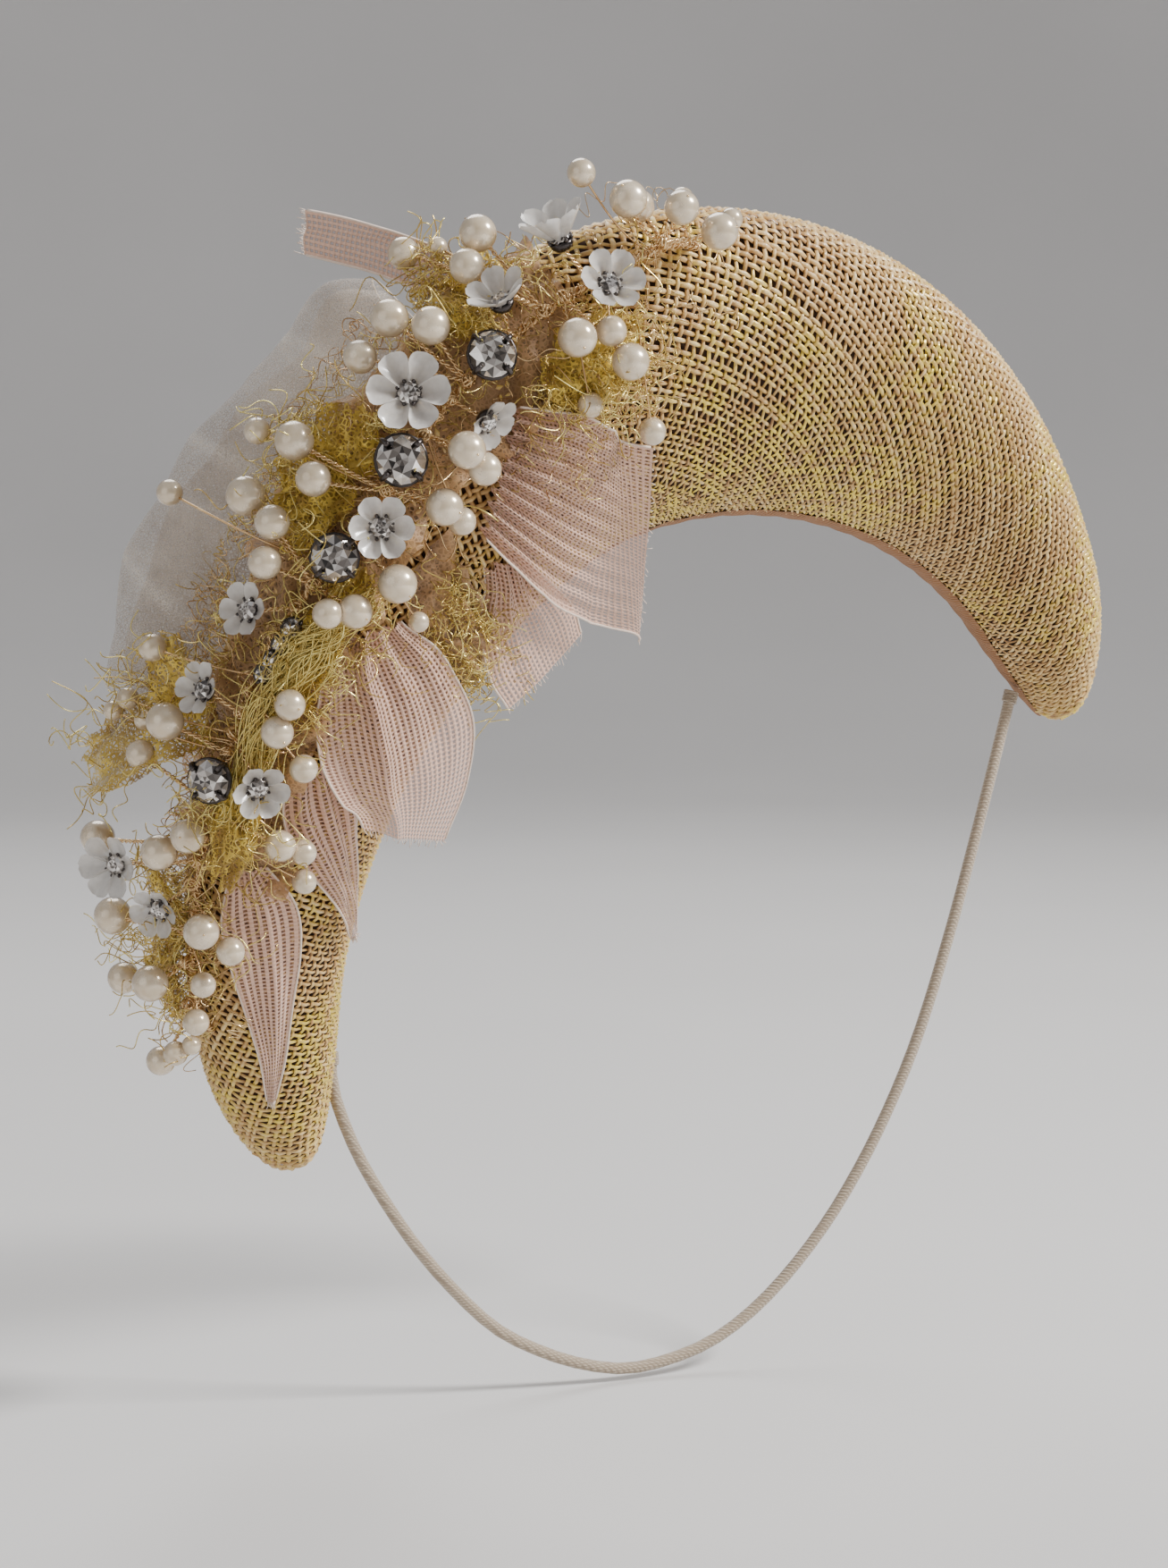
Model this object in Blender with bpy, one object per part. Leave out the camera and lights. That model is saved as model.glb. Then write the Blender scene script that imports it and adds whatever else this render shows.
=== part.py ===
"""Padded halo fascinator with ribbons, gold mesh and a wired vine of pearls, flowers and crystals.

Metres. The origin is the middle of the band's inner edge, where it sits on the head.
+Z is up, -Y is the wearer's front and +X the wearer's left.
The band is drawn in its own frame (X across, Z up in its plane, Y back) and is then
turned as a whole to the tilt that it is worn at. A place on the band is given by
along (degrees from its top, minus towards the wearer's right), around (degrees around
the section: 0 the outer rim, -90 the front face, 180 the head side) and lift (mm).
"""
from math import cos, pi, radians, sin, sqrt

import bmesh
import bpy
import numpy as np

MM = 0.001

# The worn tilt of the whole hat, in degrees.
TILT_FORWARD = 27.0
TILT_TO_RIGHT = -26.0

# The band's inner edge: a blunt arch, drawn as a superellipse.
HALF_SPAN = 88.0 * MM
TOP_RISE = 95.5 * MM
TIP_DROP = 110.0 * MM
TIP_ALONG = 94.0
EDGE_POWER = 1.7
TURN_BLEND = 7.0

# The padded section: half height and half thickness at the top and at the tips.
TOP_HEIGHT = 32.0 * MM
TIP_HEIGHT = 11.5 * MM
TOP_THICKNESS = 17.0 * MM
TIP_THICKNESS = 11.2 * MM
TOP_LEAN = -9.0
TIP_LEAN = -25.0
TAPER_POWER = 2.14
TIP_ROUNDING = 33.0 * MM
SECTION_SIDES = 16
BODY_RINGS = 22
TIP_RINGS = 5

# The elastic, tip to tip: a hanging loop in the world frame, metres.
ELASTIC_DIAMETER = 2.5 * MM
ELASTIC_ROUTE = (
    (-0.0450, 0.038, -0.102),
    (-0.0448, 0.038, -0.107),
    (-0.0435, 0.038, -0.113),
    (-0.0395, 0.038, -0.123),
    (-0.0345, 0.038, -0.132),
    (-0.0280, 0.038, -0.142),
    (-0.0200, 0.038, -0.152),
    (-0.0100, 0.038, -0.162),
    (0.0000, 0.038, -0.168),
    (0.0100, 0.038, -0.172),
    (0.0200, 0.038, -0.174),
    (0.0300, 0.038, -0.173),
    (0.0400, 0.038, -0.170),
    (0.0500, 0.038, -0.164),
    (0.0600, 0.038, -0.155),
    (0.0700, 0.038, -0.143),
    (0.0800, 0.038, -0.127),
    (0.0890, 0.038, -0.108),
    (0.0970, 0.038, -0.085),
    (0.1035, 0.038, -0.063),
    (0.1085, 0.038, -0.045),
    (0.1120, 0.038, -0.032),
)
ELASTIC_SPACING = 10.0 * MM

SHEET_WALL = 1.0 * MM
STEM_DIAMETER = 1.6 * MM
STEM_SPACING = 6.5 * MM
TWIG_DIAMETER = 1.1 * MM
KNOT_DIAMETER = 2.4 * MM
KNOT_SIDES = 6
KNOT_RINGS = 3
WIRE_SIDES = 5
PEARL_SIDES = 10
PEARL_RINGS = 4

# The vine's stem: along, around, lift.
VINE = (
    (9, -21, 1.2),
    (6, -21, 4.5),
    (1, -25, 6),
    (-8, -27, 6),
    (-16, -29, 6),
    (-22, -31, 6),
    (-28, -24, 6),
    (-34, -18, 6),
    (-42, -15, 6),
    (-50, -9, 6),
    (-58, -5, 6),
    (-64, -3, 5),
    (-68, -2, 1.2),
)


# The gathered tulle under the vine: its reach on the band and its small waves, lift in mm.
BASE_ALONG = (-3.0, -50.0)
BASE_AROUND = (-50.0, 6.0)
BASE_LIFT = 1.1
BASE_WAVE = 0.2

# The tulle puff: its profile as around and lift, and its size along the band.
PUFF_FOOT = 1.6
PUFF_WAVE = 0.03
PUFF_PROFILE = ((34, 1.6), (34, 12), (37, 23), (45, 30), (58, 24), (72, 12), (80, 1.6))
PUFF_SIZES = (
    (-9, 0.45),
    (-12, 0.70),
    (-16, 0.60),
    (-20, 0.68),
    (-24, 0.73),
    (-28, 0.78),
    (-34, 0.80),
    (-40, 0.74),
    (-43, 0.68),
)

# Ribbons: along, around, lift, then half width and the lower edge's lead in mm.
RIBBONS = (
    ("ribbon_fan", False, (
        (-12.4, -59, 3.0, 11.5, 3),
        (-11.2, -71, 3.6, 13.5, 5.5),
        (-9.8, -83, 4.0, 15.5, 8.5),
        (-8.0, -96, 4.6, 16.5, 11),
        (-5.8, -107, 6.0, 17, 12.5),
        (-3.0, -116, 9.0, 17, 13.5),
    )),
    ("ribbon_loop", False, (
        (-15.8, -91, 1.0, 5, 0),
        (-17.0, -101, 1.4, 5.5, 0),
        (-18.6, -112, 3.8, 8.8, 0),
        (-20.0, -123, 7.5, 11, 0),
        (-21.2, -131, 11, 10.5, 0),
    )),
    ("ribbon_wide_tail", False, (
        (-27.9, -55, 2.9, 6, 0),
        (-29.4, -61, 4.2, 9.5, 0),
        (-31.7, -73, 5.8, 13, -1),
        (-35.2, -86, 7.6, 15.5, -3),
        (-39.4, -96, 9.2, 14, -5),
        (-43.0, -101, 10, 10.5, -6.5),
    )),
    ("ribbon_tail_long", False, (
        (-39.5, -53, 2.9, 4.5, 0),
        (-43.0, -62, 3.4, 7, 0),
        (-47.2, -77, 3.6, 5.2, 0),
        (-51.6, -93, 3.4, 2.8, 0),
        (-56.6, -108, 3.2, 0.8, 0),
    )),
    ("ribbon_tail_low", False, (
        (-50.0, -32, 2.6, 3.5, 0),
        (-53.9, -41, 2.2, 7, 0),
        (-58.8, -47, 1.8, 6.5, 0),
        (-64.3, -50, 1.5, 4.5, 0),
        (-70.3, -50, 1.3, 2.5, 0),
        (-76.0, -44, 1.2, 0.8, 0),
    )),
    ("ribbon_cut_end", True, (
        (-5.5, 14, 2.2, 3.5, 0),
        (-7.0, 20, 9, 4.2, 0),
        (-9.0, 26, 18, 4.2, 0),
        (-11.2, 29, 27, 4.2, 0),
    )),
)

# Gold mesh: each tuft's root, then the tip of each lock with its width in mm.
LOCK_WALL = 2.2 * MM
TUFTS = (
    ("gold_tuft_top", (-6.5, -6, 2.9), (
        (-10.0, 4, 5.5, 9),
        (-4.0, 4, 6, 8),
        (-9.0, -14, 4.5, 7),
    )),
    ("gold_tuft_front", (-4.0, -40, 3.4), (
        (-1.5, -62, 5, 9),
        (-4.5, -58, 5.5, 8),
        (1.5, -50, 4, 8),
    )),
    ("gold_tuft_outer", (-20.5, -14, 2.9), (
        (-23.5, 6, 7, 11),
        (-17.0, 0, 6, 9),
        (-26.5, -8, 5.5, 8),
    )),
    ("gold_tuft_middle", (-28.0, -37, 2.9), (
        (-33.0, -32, 6.5, 6),
        (-36.0, -31, 5, 6),
        (-24.5, -40, 4.5, 5),
    )),
    ("gold_tuft_lower", (-40.0, -27, 3.4), (
        (-46.5, -22, 5.5, 6),
        (-51.0, -20, 5, 6),
    )),
    ("gold_tuft_side", (-40.0, 10, 3.0), (
        (-48.5, 34, 19, 12),
        (-37.0, 26, 13, 8),
    )),
    ("gold_tuft_end", (-57.0, 13, 1.1), (
        (-63.5, 20, 7, 7),
        (-53.0, 18, 6, 7),
        (-66.0, 13, 4, 4),
    )),
)

# Pearl sprays: the root on the stem, then each pearl's along, around, lift and diameter.
SPRAYS = (
    ("pearl_spray_01", 5.0, (
        (3.0, -12, 15, 6.6),
        (4.6, -7, 8, 6.1),
        (5.6, -18, 15, 6.1),
        (8.0, -25, 13, 6.6),
    )),
    ("pearl_spray_02", -2.5, (
        (-3.6, -37, 14, 6.8),
        (-1.0, -50.5, 13, 6.6),
    )),
    ("pearl_spray_03", -3.9, (
        (-4.5, 0, 14, 6.5),
        (-6.3, -6, 14, 6.1),
        (-8.0, 14, 14, 5.6),
    )),
    ("pearl_spray_04", -10.6, (
        (-11.8, -2, 14, 6.6),
        (-10.5, -12, 15, 6.6),
        (-14.6, -2, 13, 5.8),
    )),
    ("pearl_spray_05", -15.0, (
        (-14.0, -39, 16, 6.5),
        (-13.8, -47, 14, 5.8),
    )),
    ("pearl_spray_06", -19.4, (
        (-21.0, -2, 14, 6.8),
        (-22.0, -12, 14, 6.1),
        (-17.6, -45, 14, 6.5),
    )),
    ("pearl_spray_07", -27.4, (
        (-25.5, 3, 14, 7),
        (-25.7, -8, 14, 6.1),
        (-28.0, -11, 14, 5.8),
        (-27.0, -39, 14, 6),
    )),
    ("pearl_spray_08", -23.2, (
        (-23.7, -46, 14, 6.8),
    )),
    ("pearl_spray_09", -41.0, (
        (-41.0, 4, 14, 6.8),
    )),
    ("pearl_spray_10", -36.2, (
        (-35.0, -32, 14, 5.5),
        (-37.2, -31, 14, 5.8),
    )),
    ("pearl_spray_11", -45.4, (
        (-44.5, 14, 14, 5.3),
        (-46.0, -43, 9, 5.8),
    )),
    ("pearl_spray_12", -48.0, (
        (-47.5, -11, 14, 6.2),
        (-50.0, -1, 14, 6.5),
        (-53.5, 36, 18, 6.5),
    )),
    ("pearl_spray_13", -56.4, (
        (-54.6, -18, 13.5, 6.6),
        (-59.0, 30, 15, 7.1),
    )),
    ("pearl_spray_14", -59.5, (
        (-61.5, 3, 14, 6.8),
        (-64.0, 26, 14, 6),
    )),
    ("pearl_spray_15", -63.8, (
        (-70.0, 8, 12, 5.6),
    )),
)

# Flowers: root on the stem, along, around, lift, diameter, two leans in degrees, closing.
PETAL_WALL = 0.9 * MM
PETALS = 6
PETAL_TIP = 16.0
PETAL_NOTCH = 0.68
FLOWER_STONE = 5.2 * MM
FLOWERS = (
    (-0.6, -1.6, -16, 14, 17, 0, 50, 0.6),
    (1.2, -0.3, -30, 12, 14, 5, 10, 0.3),
    (-6.6, -6.2, -20, 13.5, 14, 0, 40, 0.45),
    (-13.6, -14.2, -19, 13, 15.5, 0, 0, 0.15),
    (-12.2, -11.3, -39, 8.5, 12, 5, -35, 0.25),
    (-21.4, -21.5, -34, 13, 14, 0, 5, 0.35),
    (-29.4, -31.2, -11, 10.5, 12, -5, 10, 0.3),
    (-37.8, -37.6, -5, 10.5, 12, 0, 10, 0.3),
    (-39.4, -41.8, -29, 11, 13, 0, -15, 0.35),
    (-50.2, -52.8, 14, 16, 14.5, 0, -20, 0.35),
    (-52.2, -54.8, 1.5, 11, 12, -8, -12, 0.4),
)

# Cut stones and crystals: along, around, lift and diameter; and the strip's stones.
CRYSTALS = (
    (-8.6, -27, 13, 7.9),
    (-17.4, -28, 13, 8.4),
    (-25.0, -27, 13, 7.9),
    (-43.0, -14, 13, 7.6),
)
GEM_SIDES = 8
STRIP_STONE = 3.8 * MM
STRIP_LEAN = -25
STRIP = (
    (-30.6, -24, 9.6),
    (-31.9, -23, 9.6),
    (-33.2, -22, 9.6),
    (-34.3, -21, 9.6),
)


def edge_point(along):
    """A point of the inner edge, in the band's plane."""
    angle = radians(along)
    power = 2 / EDGE_POWER
    rise = TOP_RISE if abs(along) < 90 else TIP_DROP
    x = HALF_SPAN * np.sign(sin(angle)) * abs(sin(angle)) ** power
    z = rise * np.sign(cos(angle)) * abs(cos(angle)) ** power - TOP_RISE
    return np.array((x, 0.0, z))


EDGE_ANGLES = np.linspace(-TIP_ALONG, TIP_ALONG, 377)
EDGE_STEPS = np.linalg.norm(np.diff([edge_point(a) for a in EDGE_ANGLES], axis=0), axis=1)
EDGE_LENGTHS = np.concatenate(([0.0], np.cumsum(EDGE_STEPS)))
EDGE_LENGTHS -= EDGE_LENGTHS[-1] / 2


def section(along):
    """The section's centre, its outward and backward directions and its two half sizes."""
    chord = edge_point(along + TURN_BLEND) - edge_point(along - TURN_BLEND)
    chord /= np.linalg.norm(chord)
    outward = np.array((-chord[2], 0.0, chord[0]))
    back = np.array((0.0, 1.0, 0.0))
    fullness = abs(cos(along / TIP_ALONG * pi / 2)) ** TAPER_POWER
    height = TIP_HEIGHT + (TOP_HEIGHT - TIP_HEIGHT) * fullness
    thickness = TIP_THICKNESS + (TOP_THICKNESS - TIP_THICKNESS) * fullness
    lean = radians(TIP_LEAN + (TOP_LEAN - TIP_LEAN) * fullness)
    centre = edge_point(along) + outward * height
    rise = outward * cos(lean) + back * sin(lean)
    depth = back * cos(lean) - outward * sin(lean)
    to_tip = EDGE_LENGTHS[-1] - abs(np.interp(along, EDGE_ANGLES, EDGE_LENGTHS))
    closing = max(0.0, 1 - to_tip / TIP_ROUNDING)
    scale = sqrt(max(0.0, 1 - closing ** 2))
    return centre, rise, depth, height * scale, thickness * scale


def normal(along, around):
    """The outward direction of the band's surface."""
    _, rise, depth, height, thickness = section(along)
    angle = radians(around)
    direction = rise * cos(angle) / max(height, MM) + depth * sin(angle) / max(thickness, MM)
    return direction / np.linalg.norm(direction)


def place(along, around, lift=0.0):
    """A point at a lift in mm over the band's surface."""
    centre, rise, depth, height, thickness = section(along)
    angle = radians(around)
    on_band = centre + rise * height * cos(angle) + depth * thickness * sin(angle)
    return on_band + normal(along, around) * lift * MM


def make_material(name, colour, roughness, metallic=0.0):
    """One plain Principled material."""
    material = bpy.data.materials.new(name)
    material.use_nodes = True
    shader = material.node_tree.nodes["Principled BSDF"]
    shader.inputs["Base Color"].default_value = (*colour, 1.0)
    shader.inputs["Roughness"].default_value = roughness
    shader.inputs["Metallic"].default_value = metallic
    return material


def make_object(name, vertices, faces, material, parent):
    """A closed mesh object with its faces turned outwards."""
    mesh = bpy.data.meshes.new(name)
    mesh.from_pydata([tuple(v) for v in vertices], [], faces)
    shell = bmesh.new()
    shell.from_mesh(mesh)
    bmesh.ops.recalc_face_normals(shell, faces=shell.faces)
    shell.to_mesh(mesh)
    shell.free()
    mesh.shade_smooth()
    mesh.set_sharp_from_angle(angle=radians(50))
    piece = bpy.data.objects.new(name, mesh)
    bpy.context.scene.collection.objects.link(piece)
    mesh.materials.append(material)
    piece.parent = parent
    return piece


def loft(rings):
    """Vertices and faces of a solid through rings of equal point count."""
    count = len(rings[0])
    vertices = [point for ring in rings for point in ring]
    faces = []
    for row in range(len(rings) - 1):
        for i in range(count):
            here = row * count + i
            beside = row * count + (i + 1) % count
            faces.append((here, beside, beside + count, here + count))
    last = (len(rings) - 1) * count
    faces.append(tuple(range(count - 1, -1, -1)))
    faces.append(tuple(range(last, last + count)))
    return vertices, faces


def frame_on(direction, hint=(0.0, 0.0, 1.0)):
    """Two unit directions square to the given one."""
    ahead = np.array(direction) / np.linalg.norm(direction)
    side = np.cross(ahead, hint)
    if np.linalg.norm(side) < 0.05:
        side = np.cross(ahead, (1.0, 0.0, 0.0))
    side /= np.linalg.norm(side)
    return side, np.cross(side, ahead)


def tube(path, radius, sides=WIRE_SIDES):
    """A round wire along a path."""
    rings = []
    for i, point in enumerate(path):
        ahead = path[min(i + 1, len(path) - 1)] - path[max(i - 1, 0)]
        side, up = frame_on(ahead, (0.3, 1.0, 0.2))
        ring = []
        for k in range(sides):
            turn = 2 * pi * k / sides
            ring.append(point + (side * cos(turn) + up * sin(turn)) * radius)
        rings.append(ring)
    return loft(rings)


def ball(centre, diameter, sides=PEARL_SIDES, rings=PEARL_RINGS):
    """A round bead."""
    radius = diameter / 2
    vertices = [centre + np.array((0, 0, radius))]
    for row in range(1, rings):
        tilt = pi * row / rings
        for k in range(sides):
            turn = 2 * pi * k / sides
            spot = np.array((sin(tilt) * cos(turn), sin(tilt) * sin(turn), cos(tilt)))
            vertices.append(centre + spot * radius)
    vertices.append(centre - np.array((0, 0, radius)))
    faces = []
    for k in range(sides):
        faces.append((0, 1 + k, 1 + (k + 1) % sides))
        for row in range(rings - 2):
            here = 1 + row * sides + k
            beside = 1 + row * sides + (k + 1) % sides
            faces.append((here, here + sides, beside + sides, beside))
        bottom = 1 + (rings - 2) * sides
        faces.append((len(vertices) - 1, bottom + (k + 1) % sides, bottom + k))
    return vertices, faces


def fuse(name, solids, material, parent):
    """Overlapping solids joined in turn as one body; the exact solver drops whole pearls here."""
    base = make_object(name, *solids[0], material, parent)
    for solid in solids[1:]:
        other = make_object(name + "_other", *solid, material, parent)
        union = base.modifiers.new("union", "BOOLEAN")
        union.operation = "UNION"
        union.solver = "MANIFOLD"
        union.object = other
        graph = bpy.context.evaluated_depsgraph_get()
        joined = bpy.data.meshes.new_from_object(base.evaluated_get(graph))
        base.modifiers.clear()
        base.data = joined
        bpy.data.objects.remove(other)
    base.data.name = name
    base.data.shade_smooth()
    base.data.set_sharp_from_angle(angle=radians(50))
    return base


def halo_band(parent, material):
    """The padded band: closed rings along the arch, rounded off at both tips."""
    half = EDGE_LENGTHS[-1]
    tips = [half - TIP_ROUNDING * (1 - cos(pi / 2 * k / TIP_RINGS)) for k in range(TIP_RINGS)]
    tips[0] = half - 0.02 * MM
    middle = np.linspace(-tips[-1], tips[-1], BODY_RINGS)[1:-1]
    stations = [-s for s in tips] + list(middle) + tips[::-1]
    rings = []
    for station in stations:
        along = np.interp(station, EDGE_LENGTHS, EDGE_ANGLES)
        angles = [360 * k / SECTION_SIDES for k in range(SECTION_SIDES)]
        rings.append([place(along, around) for around in angles])
    return make_object("halo_band", *loft(rings), material, parent)


def smooth_route(points, spacing):
    """Points at an even spacing on a Catmull-Rom curve through the given ones."""
    spots = [np.array(p) for p in points]
    spots = [2 * spots[0] - spots[1]] + spots + [2 * spots[-1] - spots[-2]]
    fine = []
    for i in range(1, len(spots) - 2):
        before, start, end, after = spots[i - 1:i + 3]
        for t in np.linspace(0, 1, 12, endpoint=False):
            bend = (2 * before - 5 * start + 4 * end - after) * t ** 2
            twist = (3 * start - before - 3 * end + after) * t ** 3
            fine.append(0.5 * (2 * start + (end - before) * t + bend + twist))
    fine.append(spots[-2])
    fine = np.array(fine)
    lengths = np.concatenate(([0.0], np.cumsum(np.linalg.norm(np.diff(fine, axis=0), axis=1))))
    count = max(2, round(lengths[-1] / spacing) + 1)
    even = np.linspace(0, lengths[-1], count)
    return [np.array([np.interp(s, lengths, fine[:, k]) for k in range(3)]) for s in even]


def elastic(material):
    """The thin round elastic that runs from tip to tip."""
    curve = bpy.data.curves.new("elastic_cord", "CURVE")
    curve.dimensions = "3D"
    curve.bevel_depth = ELASTIC_DIAMETER / 2
    curve.bevel_resolution = 2
    curve.use_fill_caps = True
    route = smooth_route(ELASTIC_ROUTE, ELASTIC_SPACING)
    spline = curve.splines.new("POLY")
    spline.points.add(len(route) - 1)
    for spot, point in zip(spline.points, route):
        spot.co = (*point, 1.0)
    curve.materials.append(material)
    cord = bpy.data.objects.new("elastic_cord", curve)
    bpy.context.scene.collection.objects.link(cord)
    return cord


def cloth(name, grid, parent, material):
    """A cloth wall of even thickness over a grid of points."""
    grid = np.array(grid)
    down = np.gradient(grid, axis=0)
    across = np.gradient(grid, axis=1)
    out = np.cross(down, across)
    out /= np.linalg.norm(out, axis=2)[..., None]
    top = grid + out * SHEET_WALL / 2
    under = grid - out * SHEET_WALL / 2
    rings = [list(a) + list(b[::-1]) for a, b in zip(top, under)]
    return make_object(name, *loft(rings), material, parent)


def ribbon_grid(rows, standing=False, across=3):
    """A ribbon's points: rows of along, around, lift, half width and lead of the lower edge."""
    middles = [place(*row[:3]) for row in rows]
    grid = []
    for i, (along, around, _, half_width, lead) in enumerate(rows):
        ahead = middles[min(i + 1, len(middles) - 1)] - middles[max(i - 1, 0)]
        ahead /= np.linalg.norm(ahead)
        face = -section(along)[2] if standing else normal(along, around)
        side = np.cross(ahead, face)
        side /= np.linalg.norm(side)
        wide = side * half_width + ahead * lead
        shares = np.linspace(-1, 1, across + 1)
        grid.append([middles[i] + wide * share * MM for share in shares])
    return grid


def ribbons(parent, material):
    """The blush ribbons, each from its root beside the vine to its cut end."""
    for name, standing, rows in RIBBONS:
        cloth(name, ribbon_grid(rows, standing), parent, material)


def tulle_base(parent, material):
    """The gathered tulle under the vine, in small waves on the band."""
    grid = []
    for i, along in enumerate(np.linspace(BASE_ALONG[0], BASE_ALONG[1], 11)):
        row = []
        for j, around in enumerate(np.linspace(BASE_AROUND[0], BASE_AROUND[1], 6)):
            wave = BASE_WAVE * sin(i * 1.9 + j * 1.3)
            row.append(place(along, around, BASE_LIFT + wave))
        grid.append(row)
    cloth("tulle_base", grid, parent, material)


def tulle_puff(parent, material):
    """The sheer puff that stands up behind the vine, a hood that is open at both ends."""
    grid = []
    alongs = [row[0] for row in PUFF_SIZES]
    sizes = [row[1] for row in PUFF_SIZES]
    for i, along in enumerate(np.linspace(alongs[0], alongs[-1], 12)):
        size = np.interp(-along, [-a for a in alongs], sizes)
        row = []
        for around, lift in PUFF_PROFILE:
            fold = 1 + PUFF_WAVE * sin(i * 2.1 + around * 0.05)
            row.append(place(along, around, PUFF_FOOT + (lift - PUFF_FOOT) * size * fold))
        grid.append(row)
    cloth("tulle_puff", grid, parent, material)


def lobe(root, tip, facing, width, thickness):
    """One leaf-shaped lock of crumpled mesh from its root to its tip."""
    ahead = tip - root
    side = np.cross(ahead, facing)
    side /= np.linalg.norm(side)
    face = np.cross(side, ahead)
    face /= np.linalg.norm(face)
    rings = []
    for t, wide in ((0, 0.55), (0.4, 1.0), (0.8, 0.85), (1, 0.25)):
        middle = root + ahead * t + face * thickness * 0.6 * sin(pi * t)
        ring = []
        for k in range(6):
            turn = 2 * pi * k / 6
            across = side * cos(turn) * width / 2 * wide
            ring.append(middle + across + face * sin(turn) * thickness / 2 * (0.5 + wide / 2))
        rings.append(ring)
    return loft(rings)


def gold_tufts(parent, material):
    """Each tuft of gold mesh: its locks fused at the shared root."""
    for name, root, tips in TUFTS:
        locks = []
        foot = place(*root)
        facing = normal(root[0], root[1])
        for along, around, lift, width in tips:
            locks.append(lobe(foot, place(along, around, lift), facing, width * MM, LOCK_WALL))
        fuse(name, locks, material, parent)


def vine_point(along, above=0.0):
    """A point on the vine's stem, or above it by some mm."""
    table = np.array(VINE, dtype=float)
    around = np.interp(-along, -table[:, 0], table[:, 1])
    lift = np.interp(-along, -table[:, 0], table[:, 2])
    return place(along, around, lift + above)


def vine_stem(parent, material):
    """The twisted wire stem that carries all the sprays."""
    path = smooth_route([place(*row) for row in VINE], STEM_SPACING)
    return make_object("vine_stem", *tube(path, STEM_DIAMETER / 2), material, parent)


TWIG_STEP = 0.13
KNOT_RISE = (STEM_DIAMETER + KNOT_DIAMETER) / 2 / MM + 0.35


def twig(root_along, along, around, lift, number):
    """A wire from a knot on the stem that runs out low and then rises to its end."""
    table = np.array(VINE, dtype=float)
    start_around = np.interp(-root_along, -table[:, 0], table[:, 1])
    start_lift = np.interp(-root_along, -table[:, 0], table[:, 2]) + KNOT_RISE
    start_lift += TWIG_STEP * (number - 1)
    path = []
    for t in (0, 0.6, 1):
        spot_along = root_along + (along - root_along) * t
        spot_around = start_around + (around - start_around) * t
        path.append(place(spot_along, spot_around, start_lift + (lift - start_lift) * t ** 3))
    return tube(path, TWIG_DIAMETER / 2)


def pearl_sprays(parent, material):
    """Each spray of pearls: a knot on the stem, its wires and its pearls, as one body."""
    for name, root_along, pearls in SPRAYS:
        knot = vine_point(root_along, KNOT_RISE)
        solids = [ball(knot, KNOT_DIAMETER, KNOT_SIDES, KNOT_RINGS)]
        for number, (along, around, lift, diameter) in enumerate(pearls):
            solids.append(twig(root_along, along, around, lift, number))
            solids.append(ball(place(along, around, lift), diameter * MM))
        fuse(name, solids, material, parent)


def leaned(along, around, lean_along, lean_around):
    """The surface's direction leaned along the band and around its section, in degrees."""
    up = normal(along, around)
    ahead = place(along + 0.5, around) - place(along - 0.5, around)
    ahead /= np.linalg.norm(ahead)
    turn = place(along, around + 2) - place(along, around - 2)
    turn /= np.linalg.norm(turn)
    leaning = up + ahead * sin(radians(lean_along)) * 1.2 + turn * sin(radians(lean_around)) * 1.6
    return leaning / np.linalg.norm(leaning)


def gem(centre, axis, diameter, height):
    """A round cut stone: a table, eight crown facets and eight pavilion facets."""
    side, up = frame_on(axis)
    rings = []
    for wide, level in ((0.58, 0.34), (1.0, 0.0), (0.14, -0.5)):
        ring = []
        for k in range(GEM_SIDES):
            turn = 2 * pi * k / GEM_SIDES
            across = (side * cos(turn) + up * sin(turn)) * diameter / 2 * wide
            ring.append(centre + across + axis * level * height)
        rings.append(ring)
    return loft(rings)


def flower_cup(centre, axis, diameter, closing):
    """Six joined petals as one thin cup with a lobed rim and a cut stone in the middle."""
    side, up = frame_on(axis)
    reach = diameter / 2 * (1 - 0.5 * closing)
    rise = diameter * (0.08 + 0.45 * closing)
    floor = 0.2 * rise
    half = PETAL_WALL / 2
    stone = FLOWER_STONE / 2
    half_turn = 180 / PETALS
    levels = (
        (0.5 * reach + half * closing, floor - half, False),
        (reach + half * closing, rise - half, True),
        (reach - half * closing, rise + half, True),
        (stone + half, floor + half, False),
        (stone * 0.6, floor + stone * 1.2, False),
    )
    rings = []
    for out, height, lobed in levels:
        ring = []
        for petal in range(PETALS):
            for offset in (-PETAL_TIP, PETAL_TIP, half_turn):
                across = out * PETAL_NOTCH if lobed and offset == half_turn else out
                turn = radians(2 * half_turn * petal + offset)
                spot = centre + (side * cos(turn) + up * sin(turn)) * across
                ring.append(spot + axis * height)
        rings.append(ring)
    return loft(rings)


def flowers(parent, material):
    """Each flower: its cup of petals with its stone and a stalk to a knot on the stem."""
    for number, row in enumerate(FLOWERS, start=1):
        root_along, along, around, lift, diameter, lean_along, lean_around, closing = row
        axis = leaned(along, around, lean_along, lean_around)
        centre = place(along, around, lift)
        knot = vine_point(root_along, KNOT_RISE)
        fuse(f"flower_{number:02d}", [
            flower_cup(centre, axis, diameter * MM, closing),
            tube([knot, centre + axis * MM], TWIG_DIAMETER / 2),
            ball(knot, KNOT_DIAMETER, KNOT_SIDES, KNOT_RINGS),
        ], material, parent)


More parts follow.
